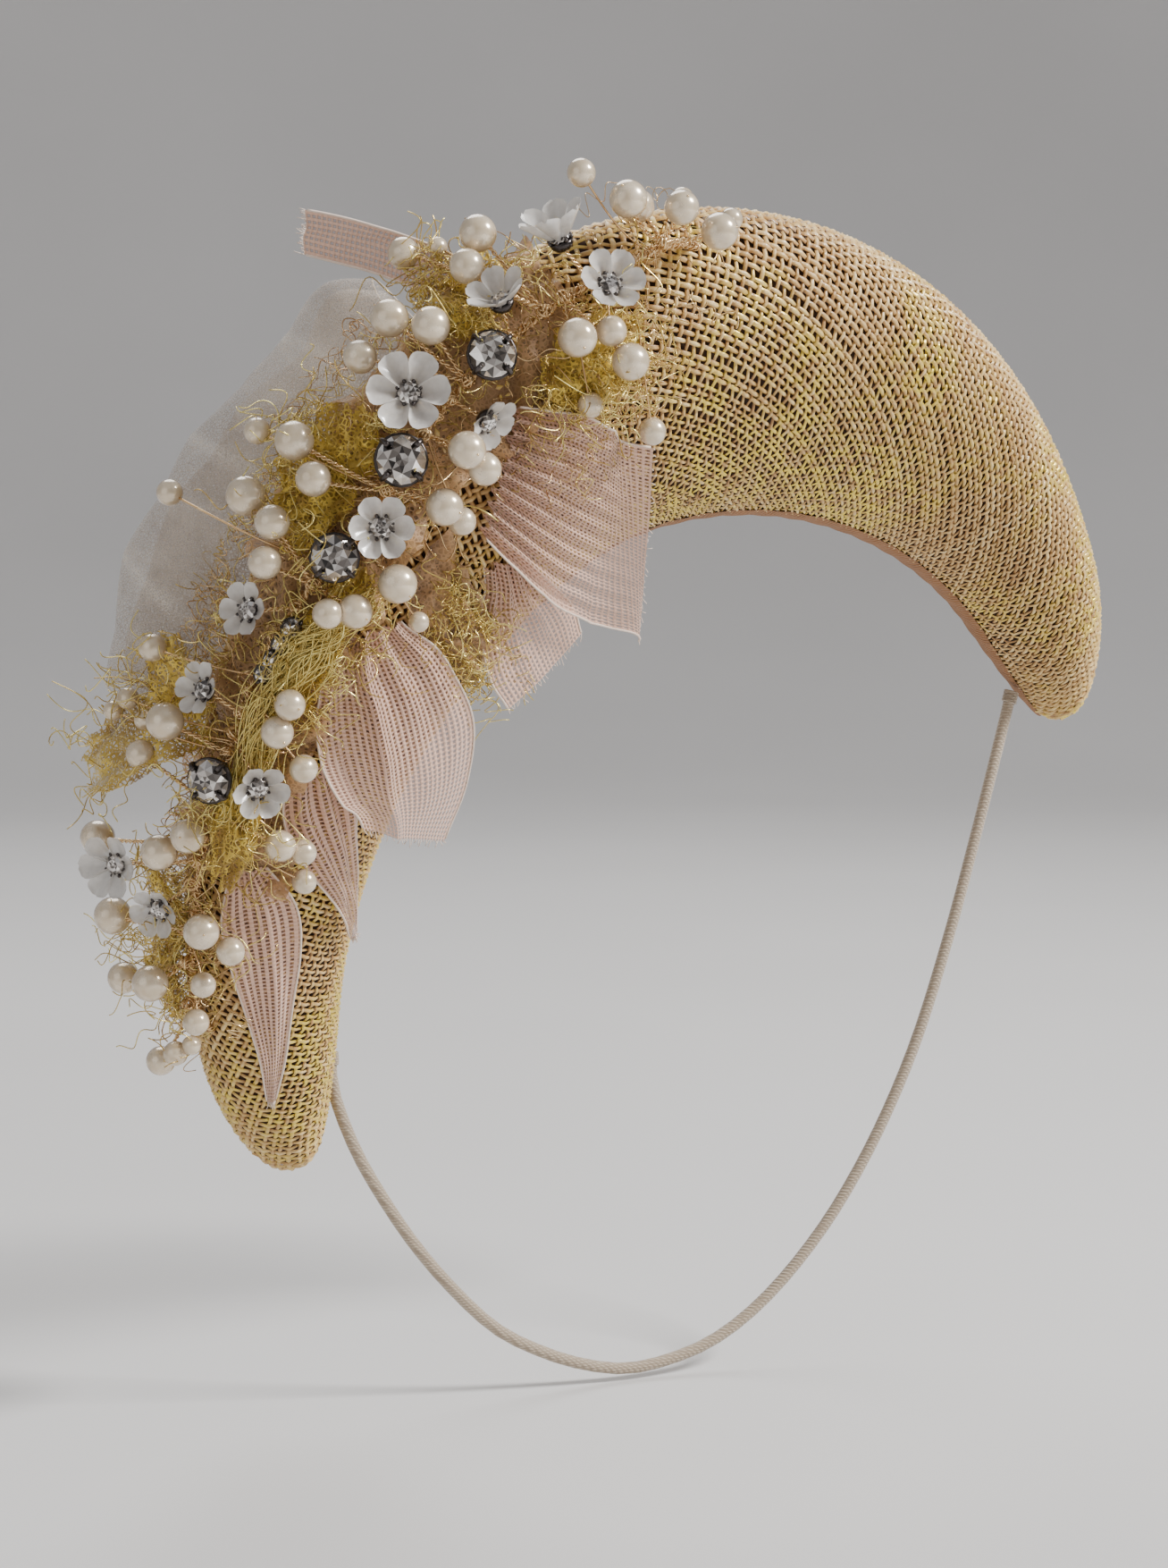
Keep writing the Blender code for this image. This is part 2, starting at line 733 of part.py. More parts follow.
def set_crystal(centre, axis, diameter):
    """A cut stone in a dark metal cup with four claws over its edge."""
    side, up = frame_on(axis)
    levels = ((0.4, -0.36), (1.12, -0.16), (1.12, 0.02), (0.98, 0.02), (0.56, 0.26))
    rings = []
    for wide, level in levels:
        ring = []
        for k in range(GEM_SIDES):
            turn = 2 * pi * k / GEM_SIDES
            across = (side * cos(turn) + up * sin(turn)) * diameter / 2 * wide
            ring.append(centre + across + axis * level * diameter)
        rings.append(ring)
    solids = [loft(rings)]
    for k in range(4):
        turn = 2 * pi * (k + 0.5) / 4
        out = side * cos(turn) + up * sin(turn)
        low = centre + out * diameter * 0.5 - axis * diameter * 0.1
        high = centre + out * diameter * 0.43 + axis * diameter * 0.22
        solids.append(tube([low, high], diameter * 0.08, 4))
    return solids


def crystals(parent, material):
    """Each crystal: a cut stone held in its clawed cup on a short post."""
    for number, (along, around, lift, diameter) in enumerate(CRYSTALS, start=1):
        axis = normal(along, around)
        centre = place(along, around, lift)
        knot = vine_point(along, KNOT_RISE)
        solids = set_crystal(centre, axis, diameter * MM)
        solids.append(tube([knot, centre], TWIG_DIAMETER / 2))
        solids.append(ball(knot, KNOT_DIAMETER, KNOT_SIDES, KNOT_RINGS))
        fuse(f"crystal_{number}", solids, material, parent)


def crystal_strip(parent, material):
    """A short strip of small stones set in a row on one bar."""
    spots = [place(*row) for row in STRIP]
    solids = [tube([spots[0], spots[-1]], STRIP_STONE * 0.35, 4)]
    for row, spot in zip(STRIP, spots):
        axis = leaned(row[0], row[1], 0, STRIP_LEAN)
        solids.append(gem(spot + axis * STRIP_STONE * 0.2, axis, STRIP_STONE, STRIP_STONE))
    foot = vine_point(STRIP[1][0], KNOT_RISE)
    solids.append(ball(foot, KNOT_DIAMETER, KNOT_SIDES, KNOT_RINGS))
    solids.append(tube([foot, spots[1]], TWIG_DIAMETER / 2))
    fuse("crystal_strip", solids, material, parent)


def main():
    """Clears the scene and builds every piece."""
    for old in list(bpy.data.objects):
        bpy.data.objects.remove(old)
    worn = bpy.data.objects.new("worn_pose", None)
    bpy.context.scene.collection.objects.link(worn)
    worn.rotation_euler = (radians(TILT_FORWARD), radians(TILT_TO_RIGHT), 0.0)
    straw = make_material("sinamay_straw", (0.62, 0.48, 0.31), 0.6)
    cord = make_material("elastic_beige", (0.55, 0.49, 0.43), 0.8)
    ribbon = make_material("blush_ribbon", (0.70, 0.52, 0.44), 0.5)
    tulle = make_material("blush_tulle", (0.66, 0.55, 0.48), 0.7)
    gold = make_material("gold_mesh", (0.62, 0.50, 0.18), 0.35, 0.8)
    wire = make_material("gold_wire", (0.72, 0.48, 0.22), 0.3, 1.0)
    pearl = make_material("ivory_pearl", (0.86, 0.82, 0.74), 0.2)
    petal = make_material("petal_white", (0.86, 0.86, 0.84), 0.35)
    crystal = make_material("crystal_dark_set", (0.35, 0.34, 0.33), 0.1, 0.5)
    halo_band(worn, straw)
    elastic(cord)
    tulle_base(worn, tulle)
    tulle_puff(worn, tulle)
    ribbons(worn, ribbon)
    gold_tufts(worn, gold)
    vine_stem(worn, wire)
    pearl_sprays(worn, pearl)
    flowers(worn, petal)
    crystals(worn, crystal)
    crystal_strip(worn, crystal)
    bpy.context.view_layer.update()


main()
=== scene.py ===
"""Looks of the halo headband fascinator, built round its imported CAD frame.

Places on the band are given as in its source: along (degrees from the top, minus towards
the wearer's right), around (degrees round the section: 0 the outer rim, -90 the front
face, 180 the head side) and lift (mm over the surface).
"""
from math import cos, pi, radians, sin

import bpy
import numpy as np
from mathutils import Matrix, Vector


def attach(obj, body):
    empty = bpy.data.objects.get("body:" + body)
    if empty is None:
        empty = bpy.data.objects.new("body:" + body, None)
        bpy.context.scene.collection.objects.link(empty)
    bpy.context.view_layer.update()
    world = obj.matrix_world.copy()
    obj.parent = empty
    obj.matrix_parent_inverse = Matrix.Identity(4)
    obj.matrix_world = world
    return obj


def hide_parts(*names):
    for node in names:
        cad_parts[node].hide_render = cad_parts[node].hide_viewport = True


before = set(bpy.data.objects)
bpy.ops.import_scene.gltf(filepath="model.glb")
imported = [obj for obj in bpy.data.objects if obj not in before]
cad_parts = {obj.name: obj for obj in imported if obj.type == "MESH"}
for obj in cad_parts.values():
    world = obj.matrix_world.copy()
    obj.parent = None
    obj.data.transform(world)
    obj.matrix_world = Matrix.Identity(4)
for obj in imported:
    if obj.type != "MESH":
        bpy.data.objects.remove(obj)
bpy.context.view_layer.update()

MM = 0.001
RNG = np.random.default_rng(7)

TILT_FORWARD = 27.0
TILT_TO_RIGHT = -26.0
HALF_SPAN = 88.0 * MM
TOP_RISE = 95.5 * MM
TIP_DROP = 110.0 * MM
TIP_ALONG = 94.0
EDGE_POWER = 1.7
TURN_BLEND = 7.0
TOP_HEIGHT = 32.0 * MM
TIP_HEIGHT = 11.5 * MM
TOP_THICKNESS = 17.0 * MM
TIP_THICKNESS = 11.2 * MM
TOP_LEAN = -9.0
TIP_LEAN = -25.0
TAPER_POWER = 2.14
TIP_ROUNDING = 33.0 * MM

# Radius, distance apart and pitch of the fine wires that are twisted in pairs.
FINE_WIRE = 0.2 * MM
PAIR_APART = 0.24 * MM
PAIR_PITCH = 2.2 * MM
# A direction that no wire follows.
OBLIQUE = (0.31, 0.52, 0.79)


# The band's surface.

def edge_point(along):
    """Points of the inner edge, in the band's plane."""
    angle = np.radians(along)
    power = 2 / EDGE_POWER
    rise = np.where(np.abs(along) < 90, TOP_RISE, TIP_DROP)
    x = HALF_SPAN * np.sign(np.sin(angle)) * np.abs(np.sin(angle)) ** power
    z = rise * np.sign(np.cos(angle)) * np.abs(np.cos(angle)) ** power - TOP_RISE
    return np.stack((x, 0 * x, z), -1)


def unit(vectors):
    """Vectors scaled to length one."""
    vectors = np.asarray(vectors, dtype=float)
    return vectors / np.maximum(np.linalg.norm(vectors, axis=-1, keepdims=True), 1e-12)


def lengths_of(path):
    """The way along a path to each of its points."""
    return np.concatenate(([0.0], np.cumsum(np.linalg.norm(np.diff(path, axis=0), axis=1))))


def read_off(spots, lengths, values):
    """Rows of values at other spots along a path."""
    return np.stack([np.interp(spots, lengths, column) for column in values.T], -1)


EDGE_ANGLES = np.linspace(-TIP_ALONG, TIP_ALONG, 377)
EDGE_LENGTHS = lengths_of(edge_point(EDGE_ANGLES))
EDGE_LENGTHS -= EDGE_LENGTHS[-1] / 2


def section(along):
    """The section's centre, its outward and backward directions and its two half sizes."""
    along = np.asarray(along, dtype=float)
    chord = unit(edge_point(along + TURN_BLEND) - edge_point(along - TURN_BLEND))
    outward = np.stack((-chord[..., 2], 0 * along, chord[..., 0]), -1)
    back = np.zeros_like(outward) + np.array((0.0, 1.0, 0.0))
    fullness = np.abs(np.cos(along / TIP_ALONG * pi / 2)) ** TAPER_POWER
    height = TIP_HEIGHT + (TOP_HEIGHT - TIP_HEIGHT) * fullness
    thickness = TIP_THICKNESS + (TOP_THICKNESS - TIP_THICKNESS) * fullness
    lean = np.radians(TIP_LEAN + (TOP_LEAN - TIP_LEAN) * fullness)[..., None]
    centre = edge_point(along) + outward * height[..., None]
    rise = outward * np.cos(lean) + back * np.sin(lean)
    depth = back * np.cos(lean) - outward * np.sin(lean)
    to_tip = EDGE_LENGTHS[-1] - np.abs(np.interp(along, EDGE_ANGLES, EDGE_LENGTHS))
    closing = np.clip(1 - to_tip / TIP_ROUNDING, 0, 1)
    scale = np.sqrt(1 - closing ** 2)
    return centre, rise, depth, height * scale, thickness * scale


TILT = np.array(Matrix.Rotation(radians(TILT_TO_RIGHT), 3, "Y")
                @ Matrix.Rotation(radians(TILT_FORWARD), 3, "X"))


def surface(along, around, lift=0.0):
    """Points at a lift in mm over the band, and the surface's directions there."""
    along, around, lift = np.broadcast_arrays(
        np.asarray(along, float), np.asarray(around, float), np.asarray(lift, float))
    centre, rise, depth, height, thickness = section(along)
    angle = np.radians(around)
    on_band = centre + rise * (height * np.cos(angle))[..., None]
    on_band = on_band + depth * (thickness * np.sin(angle))[..., None]
    normal = rise * (np.cos(angle) / np.maximum(height, MM))[..., None]
    normal = unit(normal + depth * (np.sin(angle) / np.maximum(thickness, MM))[..., None])
    return (on_band + normal * lift[..., None] * MM) @ TILT.T, normal @ TILT.T


def place(along, around, lift=0.0):
    """A point at a lift in mm over the band's surface."""
    return surface(along, around, lift)[0]


def normal_at(along, around):
    """The surface's direction at a place."""
    return surface(along, around)[1]


# Mesh building.

class Soup:
    """Vertices, faces, slots and tints gathered for one mesh."""

    def __init__(self):
        self.vertices = []
        self.faces = []
        self.slots = []
        self.tints = []
        self.count = 0

    def add(self, vertices, faces, slot=0, tint=0.5):
        """One more shape; tint is a number or one number for each vertex."""
        vertices = np.asarray(vertices, dtype=float)
        self.faces += [tuple(self.count + i for i in face) for face in faces]
        self.slots += [slot] * len(faces)
        self.vertices.append(vertices)
        self.tints.append(np.zeros(len(vertices)) + tint)
        self.count += len(vertices)

    def add_grid(self, grid, slot, tint):
        """A sheet over a grid of points."""
        rows, columns = grid.shape[:2]
        faces = []
        for i in range(rows - 1):
            for j in range(columns - 1):
                a = i * columns + j
                faces.append((a, a + 1, a + columns + 1, a + columns))
        self.add(grid.reshape(-1, 3), faces, slot, tint.reshape(-1))

    def build(self, name, materials, smooth=True):
        """The gathered mesh as an object that rides on the hat."""
        mesh = bpy.data.meshes.new(name)
        mesh.from_pydata(np.concatenate(self.vertices).tolist(), [], self.faces)
        for material in materials:
            mesh.materials.append(material)
        mesh.polygons.foreach_set("material_index", self.slots)
        mesh.polygons.foreach_set("use_smooth", [smooth] * len(self.faces))
        tint = mesh.attributes.new("tint", "FLOAT", "POINT")
        tint.data.foreach_set("value", np.concatenate(self.tints))
        mesh.update()
        piece = bpy.data.objects.new(name, mesh)
        bpy.context.scene.collection.objects.link(piece)
        return piece


def tube_faces(count, sides):
    """Quads round the rings of a tube, then its two ends."""
    faces = []
    for i in range(count - 1):
        for k in range(sides):
            a = i * sides + k
            b = i * sides + (k + 1) % sides
            faces.append((a, b, b + sides, a + sides))
    last = (count - 1) * sides
    return faces + [tuple(range(sides - 1, -1, -1)), tuple(range(last, last + sides))]


def circle(turns, side, up):
    """Points of a circle of radius one at the given turns."""
    return np.outer(np.cos(turns), side) + np.outer(np.sin(turns), up)


def full_turn(count):
    """Even turns round a circle."""
    return np.arange(count) * 2 * pi / count


def strip(soup, path, normals, width, thick, tint):
    """A thread along a path: two edges and a raised middle, with painted shade darkening the edges and a
    painted highlight lightening the middle.
    """
    side = unit(np.cross(np.gradient(path, axis=0), normals))
    half = width[:, None] / 2
    rows = np.stack((path - side * half, path + normals * thick[:, None], path + side * half), 1)
    faces = []
    for i in range(len(path) - 1):
        a = 3 * i
        faces.append((a, a + 1, a + 4, a + 3))
        faces.append((a + 1, a + 2, a + 5, a + 4))
    # Painted shade and highlight: the tint is lowered by 0.3 at both edges and raised by 0.12 along the
    # middle.
    shade = tint[:, None] + np.array((-0.3, 0.12, -0.3))
    soup.add(rows.reshape(-1, 3), faces, 0, np.clip(shade, 0, 1).reshape(-1))


def wire(soup, path, radius, sides=5, slot=0, tint=0.5):
    """A round wire along a path; radius is a number or one number for each point."""
    path = np.asarray(path, dtype=float)
    ahead = unit(np.gradient(path, axis=0))
    radii = np.zeros(len(path)) + radius
    side = unit(np.cross(ahead[0], OBLIQUE))
    turns = full_turn(sides)
    rings = []
    for point, direction, size in zip(path, ahead, radii):
        side = unit(side - direction * np.dot(side, direction))
        rings.append(point + circle(turns, side, np.cross(direction, side)) * size)
    soup.add(np.concatenate(rings), tube_faces(len(path), sides), slot, tint)


def frame_on(axis):
    """Two unit directions square to the given one."""
    axis = unit(axis)
    side = np.cross(axis, (0.0, 0.0, 1.0))
    if np.linalg.norm(side) < 0.05:
        side = np.cross(axis, (1.0, 0.0, 0.0))
    side = unit(side)
    return side, np.cross(side, axis)


def sphere(soup, centre, radius, axis, columns, rows, slot, tint=0.5):
    """A round bead with its poles along an axis."""
    axis = unit(axis)
    tilt = np.linspace(0, pi, rows + 1)[1:-1]
    flat = circle(full_turn(columns), *frame_on(axis))
    body = np.sin(tilt)[:, None, None] * flat[None] + np.cos(tilt)[:, None, None] * axis
    vertices = np.concatenate(([axis], body.reshape(-1, 3), [-axis])) * radius + centre
    faces = []
    for k in range(columns):
        beside = (k + 1) % columns
        faces.append((0, 1 + k, 1 + beside))
        for row in range(rows - 2):
            a = 1 + row * columns
            faces.append((a + k, a + k + columns, a + beside + columns, a + beside))
        low = 1 + (rows - 2) * columns
        faces.append((len(vertices) - 1, low + beside, low + k))
    soup.add(vertices, faces, slot, tint)


def lathe(soup, centre, axis, size, profile, columns, slot):
    """A turned shape: profile is radius and height pairs, as shares of a size."""
    axis = unit(axis)
    flat = circle(full_turn(columns), *frame_on(axis))
    rings = [centre + flat * (size * radius) + axis * (size * height) for radius, height in profile]
    soup.add(np.concatenate(rings), tube_faces(len(profile), columns), slot)


def curve_through(points, count):
    """Evenly spaced points on a Catmull-Rom curve through the given ones."""
    spots = [np.array(p, dtype=float) for p in points]
    spots = [2 * spots[0] - spots[1]] + spots + [2 * spots[-1] - spots[-2]]
    fine = []
    for i in range(1, len(spots) - 2):
        before, start, end, after = spots[i - 1:i + 3]
        for t in np.linspace(0, 1, 16, endpoint=False):
            bend = (2 * before - 5 * start + 4 * end - after) * t ** 2
            twist = (3 * start - before - 3 * end + after) * t ** 3
            fine.append(0.5 * (2 * start + (end - before) * t + bend + twist))
    fine.append(spots[-2])
    fine = np.array(fine)
    lengths = lengths_of(fine)
    return read_off(np.linspace(0, lengths[-1], count), lengths, fine)


# Materials.

# The wave texture's scale at which its bands repeat once in a unit.
WAVE_SCALE = 0.31416


def srgb(red, green, blue):
    """A colour of 0 to 255 as linear light."""
    parts = [part / 255 for part in (red, green, blue)]
    linear = [p / 12.92 if p <= 0.04045 else ((p + 0.055) / 1.055) ** 2.4 for p in parts]
    return (*linear, 1.0)


class Look:
    """A node material that is put together step by step."""

    def __init__(self, name, sockets):
        self.material = bpy.data.materials.new(name)
        self.material.use_nodes = True
        self.tree = self.material.node_tree
        self.shader = self.tree.nodes["Principled BSDF"]
        for socket, value in sockets.items():
            self.shader.inputs[socket].default_value = value

    def node(self, kind, settings=None, inputs=None):
        """One node with its settings; an input is a value or another node's output."""
        new = self.tree.nodes.new(kind)
        for key, value in (settings or {}).items():
            setattr(new, key, value)
        for key, value in (inputs or {}).items():
            if isinstance(value, bpy.types.NodeSocket):
                self.tree.links.new(value, new.inputs[key])
            else:
                new.inputs[key].default_value = value
        return new

    def object_space(self):
        """Object coordinates."""
        return self.node("ShaderNodeTexCoord").outputs["Object"]

    def flat_space(self):
        """The sheet's own flat coordinates in mm."""
        return self.node("ShaderNodeTexCoord").outputs["UV"]

    def tint(self):
        """The tint stored on the mesh."""
        return self.node("ShaderNodeAttribute", {"attribute_name": "tint"}).outputs["Fac"]

    def noise(self, scale, detail=2.0):
        """A noise value."""
        inputs = {"Scale": scale, "Detail": detail, "Vector": self.object_space()}
        return self.node("ShaderNodeTexNoise", None, inputs).outputs["Fac"]

    def cells(self, scale):
        """The distance to the nearest cell edge of a net."""
        inputs = {"Scale": scale, "Vector": self.object_space()}
        settings = {"feature": "DISTANCE_TO_EDGE"}
        return self.node("ShaderNodeTexVoronoi", settings, inputs).outputs["Distance"]

    def bands(self, period, vector, axis, wobble):
        """Parallel bands, 0 to 1, at a period in the vector's own unit."""
        inputs = {"Scale": WAVE_SCALE / period, "Distortion": wobble, "Vector": vector}
        settings = {"bands_direction": axis}
        return self.node("ShaderNodeTexWave", settings, inputs).outputs["Fac"]

    def math(self, operation, first, second):
        """One sum."""
        settings = {"operation": operation}
        return self.node("ShaderNodeMath", settings, {0: first, 1: second}).outputs[0]

    def times(self, first, second):
        """Two values multiplied."""
        return self.math("MULTIPLY", first, second)

    def blend(self, first, share, second, other_share):
        """The sum of two values, each times its share."""
        return self.math("ADD", self.times(first, share), self.times(second, other_share))

    def spread(self, value, low, high, to_low=0.0, to_high=1.0):
        """A value taken from one range to another."""
        inputs = {0: value, 1: low, 2: high, 3: to_low, 4: to_high}
        return self.node("ShaderNodeMapRange", None, inputs).outputs[0]

    def ramp(self, value, *stops):
        """A colour ramp of place and colour pairs."""
        new = self.node("ShaderNodeValToRGB", None, {"Fac": value})
        marks = new.color_ramp.elements
        while len(marks) < len(stops):
            marks.new(0.5)
        for mark, (spot, colour) in zip(marks, stops):
            mark.position = spot
            mark.color = srgb(*colour)
        return new.outputs["Color"]

    def mix(self, share, first, second):
        """An output mixed with a plain colour."""
        settings = {"data_type": "RGBA"}
        inputs = {0: share, 6: first, 7: srgb(*second)}
        return self.node("ShaderNodeMix", settings, inputs).outputs[2]

    def set(self, socket, output):
        """An output joined to the shader."""
        self.tree.links.new(output, self.shader.inputs[socket])

    def paint(self, value, *stops):
        """The base colour from a ramp."""
        self.set("Base Color", self.ramp(value, *stops))

    def bump(self, height, distance, strength=0.5):
        """A relief of so many metres."""
        inputs = {"Height": height, "Distance": distance, "Strength": strength}
        self.set("Normal", self.node("ShaderNodeBump", None, inputs).outputs["Normal"])


def straw_look():
    """Pale straw threads with patches of yellow metal glint; the tint they read carries painted shade and
    highlight from the weave.
    """
    look = Look("straw_thread", {"Sheen Weight": 0.1, "Sheen Roughness": 0.4, "Coat Weight": 0.2})
    fibre = look.noise(2600, 3)
    shade = look.blend(look.tint(), 0.75, fibre, 0.35)
    plain = look.ramp(shade, (0.1, (104, 64, 28)), (0.35, (172, 126, 66)),
                      (0.65, (218, 180, 114)), (1.0, (252, 230, 174)))
    patch = look.spread(look.noise(30, 3), 0.46, 0.62)
    flecks = look.spread(look.noise(480, 2), 0.42, 0.60)
    glint = look.times(look.times(patch, flecks), 0.9)
    look.set("Base Color", look.mix(glint, plain, (244, 216, 88)))
    look.set("Metallic", look.times(glint, 0.6))
    look.set("Roughness", look.spread(glint, 0.0, 1.0, 0.42, 0.24))
    look.bump(fibre, 0.00015, 0.6)
    return look.material


def lining_look():
    """The brown cloth under the open straw weave, in very dark browns that are partly its own colour and
    partly painted shade for the gaps between the threads.
    """
    look = Look("band_lining", {"Roughness": 0.85})
    look.paint(look.noise(60, 3), (0.3, (52, 32, 16)), (0.7, (84, 54, 28)))
    look.bump(look.noise(1800, 2), 0.0002, 0.5)
    return look.material


def binding_look():
    """The folded straw edge on the head side, in dark browns that are partly its own colour and partly
    painted shade of the crease along the band's lower front edge.
    """
    look = Look("edge_binding", {"Roughness": 0.8, "Sheen Weight": 0.04})
    across = look.bands(0.9, look.flat_space(), "Y", 0.6)
    look.paint(look.math("ADD", across, look.noise(300)), (0.1, (84, 52, 28)), (0.9, (148, 102, 60)))
    look.bump(across, 0.0002, 0.7)
    return look.material


def elastic_look():
    """The fine braid of the round elastic."""
    look = Look("elastic_braid", {"Roughness": 0.8, "Sheen Weight": 0.4})
    space = look.object_space()
    braid = look.times(look.bands(0.0006, space, "DIAGONAL", 0.3), look.bands(0.0006, space, "Z", 0.3))
    shade = look.math("ADD", braid, look.times(look.noise(700), 0.4))
    look.paint(shade, (0.1, (150, 132, 112)), (0.8, (188, 172, 150)))
    look.bump(braid, 0.0002, 0.7)
    return look.material


def net_look(name, light, dark, cell, thread, veil, roughness=0.5, metal=0.0, cover=0.92):
    """Sheer net: fine threads round open cells, with a faint veil between them."""
    look = Look(name, {"Roughness": roughness, "Metallic": metal, "Sheen Weight": 0.3})
    edge = look.cells(1 / (cell * MM))
    threads = look.spread(edge, thread, thread + 0.05, 1.0, 0.0)
    body = look.math("ADD", look.spread(look.noise(55, 3), 0.35, 0.7, 0.0, veil), veil * 0.6)
    look.set("Alpha", look.math("MAXIMUM", look.times(threads, cover), body))
    shade = look.blend(look.tint(), 0.7, look.noise(240, 3), 0.5)
    look.paint(shade, (0.2, dark), (0.9, light))
    look.bump(threads, 0.0001, 0.5)
    return look.material


def ribbon_look(name, rib_pitch, weft_pitch, weft_share, gap_shade_cover, low, middle, high):
    """Sheer ribbed ribbon: ribs along it and finer threads across it, with the gaps between them partly
    covered in the dark low colour as painted shade.
    """
    look = Look(name, {"Roughness": 0.4, "Sheen Weight": 0.4, "Sheen Roughness": 0.35})
    flat = look.flat_space()
    rib = look.bands(rib_pitch, flat, "X", 0.12)
    weft = look.bands(weft_pitch, flat, "Y", 0.2)
    ribs = look.spread(rib, 0.3, 0.6)
    wefts = look.spread(weft, 0.4, 0.75)
    cloth = look.math("MAXIMUM", ribs, look.times(wefts, weft_share))
    worn = look.spread(look.noise(70, 3), 0.3, 0.7, 0.82, 1.0)
    # Painted shade: the gaps between the threads are not left open but keep 36 to 42 percent cover in the
    # dark low colour.
    look.set("Alpha", look.spread(look.times(cloth, worn), 0.0, 1.0, gap_shade_cover, 0.98))
    shade = look.blend(cloth, 0.65, look.tint(), 0.4)
    shade = look.math("ADD", shade, look.times(look.noise(900, 2), 0.15))
    look.paint(shade, (0.1, low), (0.5, middle), (0.95, high))
    look.bump(look.math("ADD", rib, look.times(weft, weft_share)), 0.00022, 0.7)
    return look.material


def metal_look(name, low, high, roughness, scale=500, metal=1.0):
    """Wire or mesh metal with uneven colour."""
    look = Look(name, {"Metallic": metal})
    grain = look.noise(scale, 3)
    look.paint(look.blend(look.tint(), 0.6, grain, 0.5), (0.2, low), (0.9, high))
    look.set("Roughness", look.spread(grain, 0.2, 0.8, roughness * 0.7, roughness * 1.4))
    look.bump(grain, 0.00005, 0.4)
    return look.material


def pearl_look():
    """Ivory pearl: a soft glow under a clear gloss, a little uneven, with painted shade darkening it
    towards its rim.
    """
    look = Look("pearl_ivory", {
        "Subsurface Weight": 0.12, "Subsurface Scale": 0.002, "Subsurface Radius": (1.0, 0.85, 0.7),
        "Coat Weight": 1.0, "Coat Roughness": 0.05, "Coat IOR": 1.7, "Metallic": 0.3})
    # Painted shade: the base colour turns to a dark brown towards the rim, where the surface turns from
    # view, standing in for dark reflections.
    facing = look.node("ShaderNodeLayerWeight", None, {"Blend": 0.35}).outputs["Facing"]
    cloud = look.noise(420, 3)
    body = look.ramp(cloud, (0.3, (212, 192, 160)), (0.7, (236, 220, 194)))
    rim = look.times(look.math("POWER", facing, 1.6), 0.55)
    look.set("Base Color", look.mix(rim, body, (112, 86, 60)))
    look.set("Roughness", look.spread(cloud, 0.3, 0.7, 0.2, 0.3))
    look.bump(cloud, 0.00006, 0.3)
    return look.material


def petal_look():
    """Thin milky petals; their tint paints shade near the flower's centre and a highlight towards the
    rim, and makes the rim less sheer.
    """
    look = Look("petal_milk", {
        "Roughness": 0.28, "Subsurface Weight": 0.25, "Subsurface Scale": 0.002,
        "Subsurface Radius": (1.0, 0.95, 0.9), "Coat Weight": 0.7, "Coat Roughness": 0.12})
    veins = look.noise(900, 2)
    shade = look.blend(look.tint(), 0.8, veins, 0.25)
    look.paint(shade, (0.1, (118, 108, 98)), (0.5, (180, 174, 166)), (1.0, (234, 230, 224)))
    look.set("Alpha", look.spread(shade, 0.1, 0.9, 0.66, 0.93))
    look.bump(veins, 0.00008, 0.4)
    return look.material


def stone_look():
    """A foiled cut stone: hard facets, each given its own random brightness as painted reflection."""
    look = Look("cut_stone", {
        "Metallic": 0.85, "Roughness": 0.07, "Coat Weight": 1.0, "Coat Roughness": 0.02})
    look.paint(look.tint(), (0.0, (44, 40, 38)), (0.35, (118, 110, 104)),
               (0.7, (208, 202, 196)), (1.0, (255, 252, 246)))
    return look.material


def stage_look():
    """The pale matt floor."""
    look = Look("pale_floor", {"Roughness": 0.9})
    look.paint(look.noise(3, 2), (0.3, (208, 206, 204)), (0.7, (213, 211, 209)))
    return look.material


STRAW = straw_look()
LINING = lining_look()
BINDING = binding_look()
ELASTIC = elastic_look()
TULLE = net_look("puff_net", (240, 228, 210), (146, 126, 106), 0.6, 0.07, 0.16, cover=0.5)
BASE_NET = net_look("base_net", (206, 162, 112), (88, 56, 34), 0.9, 0.12, 0.5)
GAUZE = net_look("gold_gauze", (248, 216, 92), (132, 92, 30), 0.9, 0.11, 0.16, 0.3, 0.4)
# Low, middle and high colours of the ribbons; the low one also paints the shade seen through the gaps.
BLUSH = ((104, 66, 48), (176, 124, 100), (228, 186, 162))
ROSE = ((92, 56, 40), (170, 118, 94), (230, 188, 164))
MESH_RIBBON = ribbon_look("mesh_ribbon", 0.9, 1.05, 0.95, 0.36, *BLUSH)
RIBBED_RIBBON = ribbon_look("ribbed_ribbon", 1.1, 0.9, 0.85, 0.42, *ROSE)
GOLD = metal_look("gold_thread", (186, 144, 62), (255, 238, 152), 0.24, 500, 0.7)
WIRE = metal_look("copper_gold_wire", (184, 140, 92), (248, 218, 166), 0.22, 500, 0.85)
CLAW = metal_look("dark_claw", (38, 34, 34), (96, 90, 88), 0.3)
PEARL = pearl_look()
PETAL = petal_look()
STONE = stone_look()
EDGE_THREAD = metal_look("ribbon_selvedge", (196, 164, 144), (238, 220, 204), 0.5, 700, 0.0)
TULLE_EDGE = metal_look("tulle_fold_edge", (206, 188, 166), (240, 230, 214), 0.5, 500, 0.0)


def keep(piece, slot, *nodes):
    """A piece that rides on the hat and stands for CAD nodes; slot is not used."""
    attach(piece, "root")
    if nodes:
        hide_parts(*nodes)


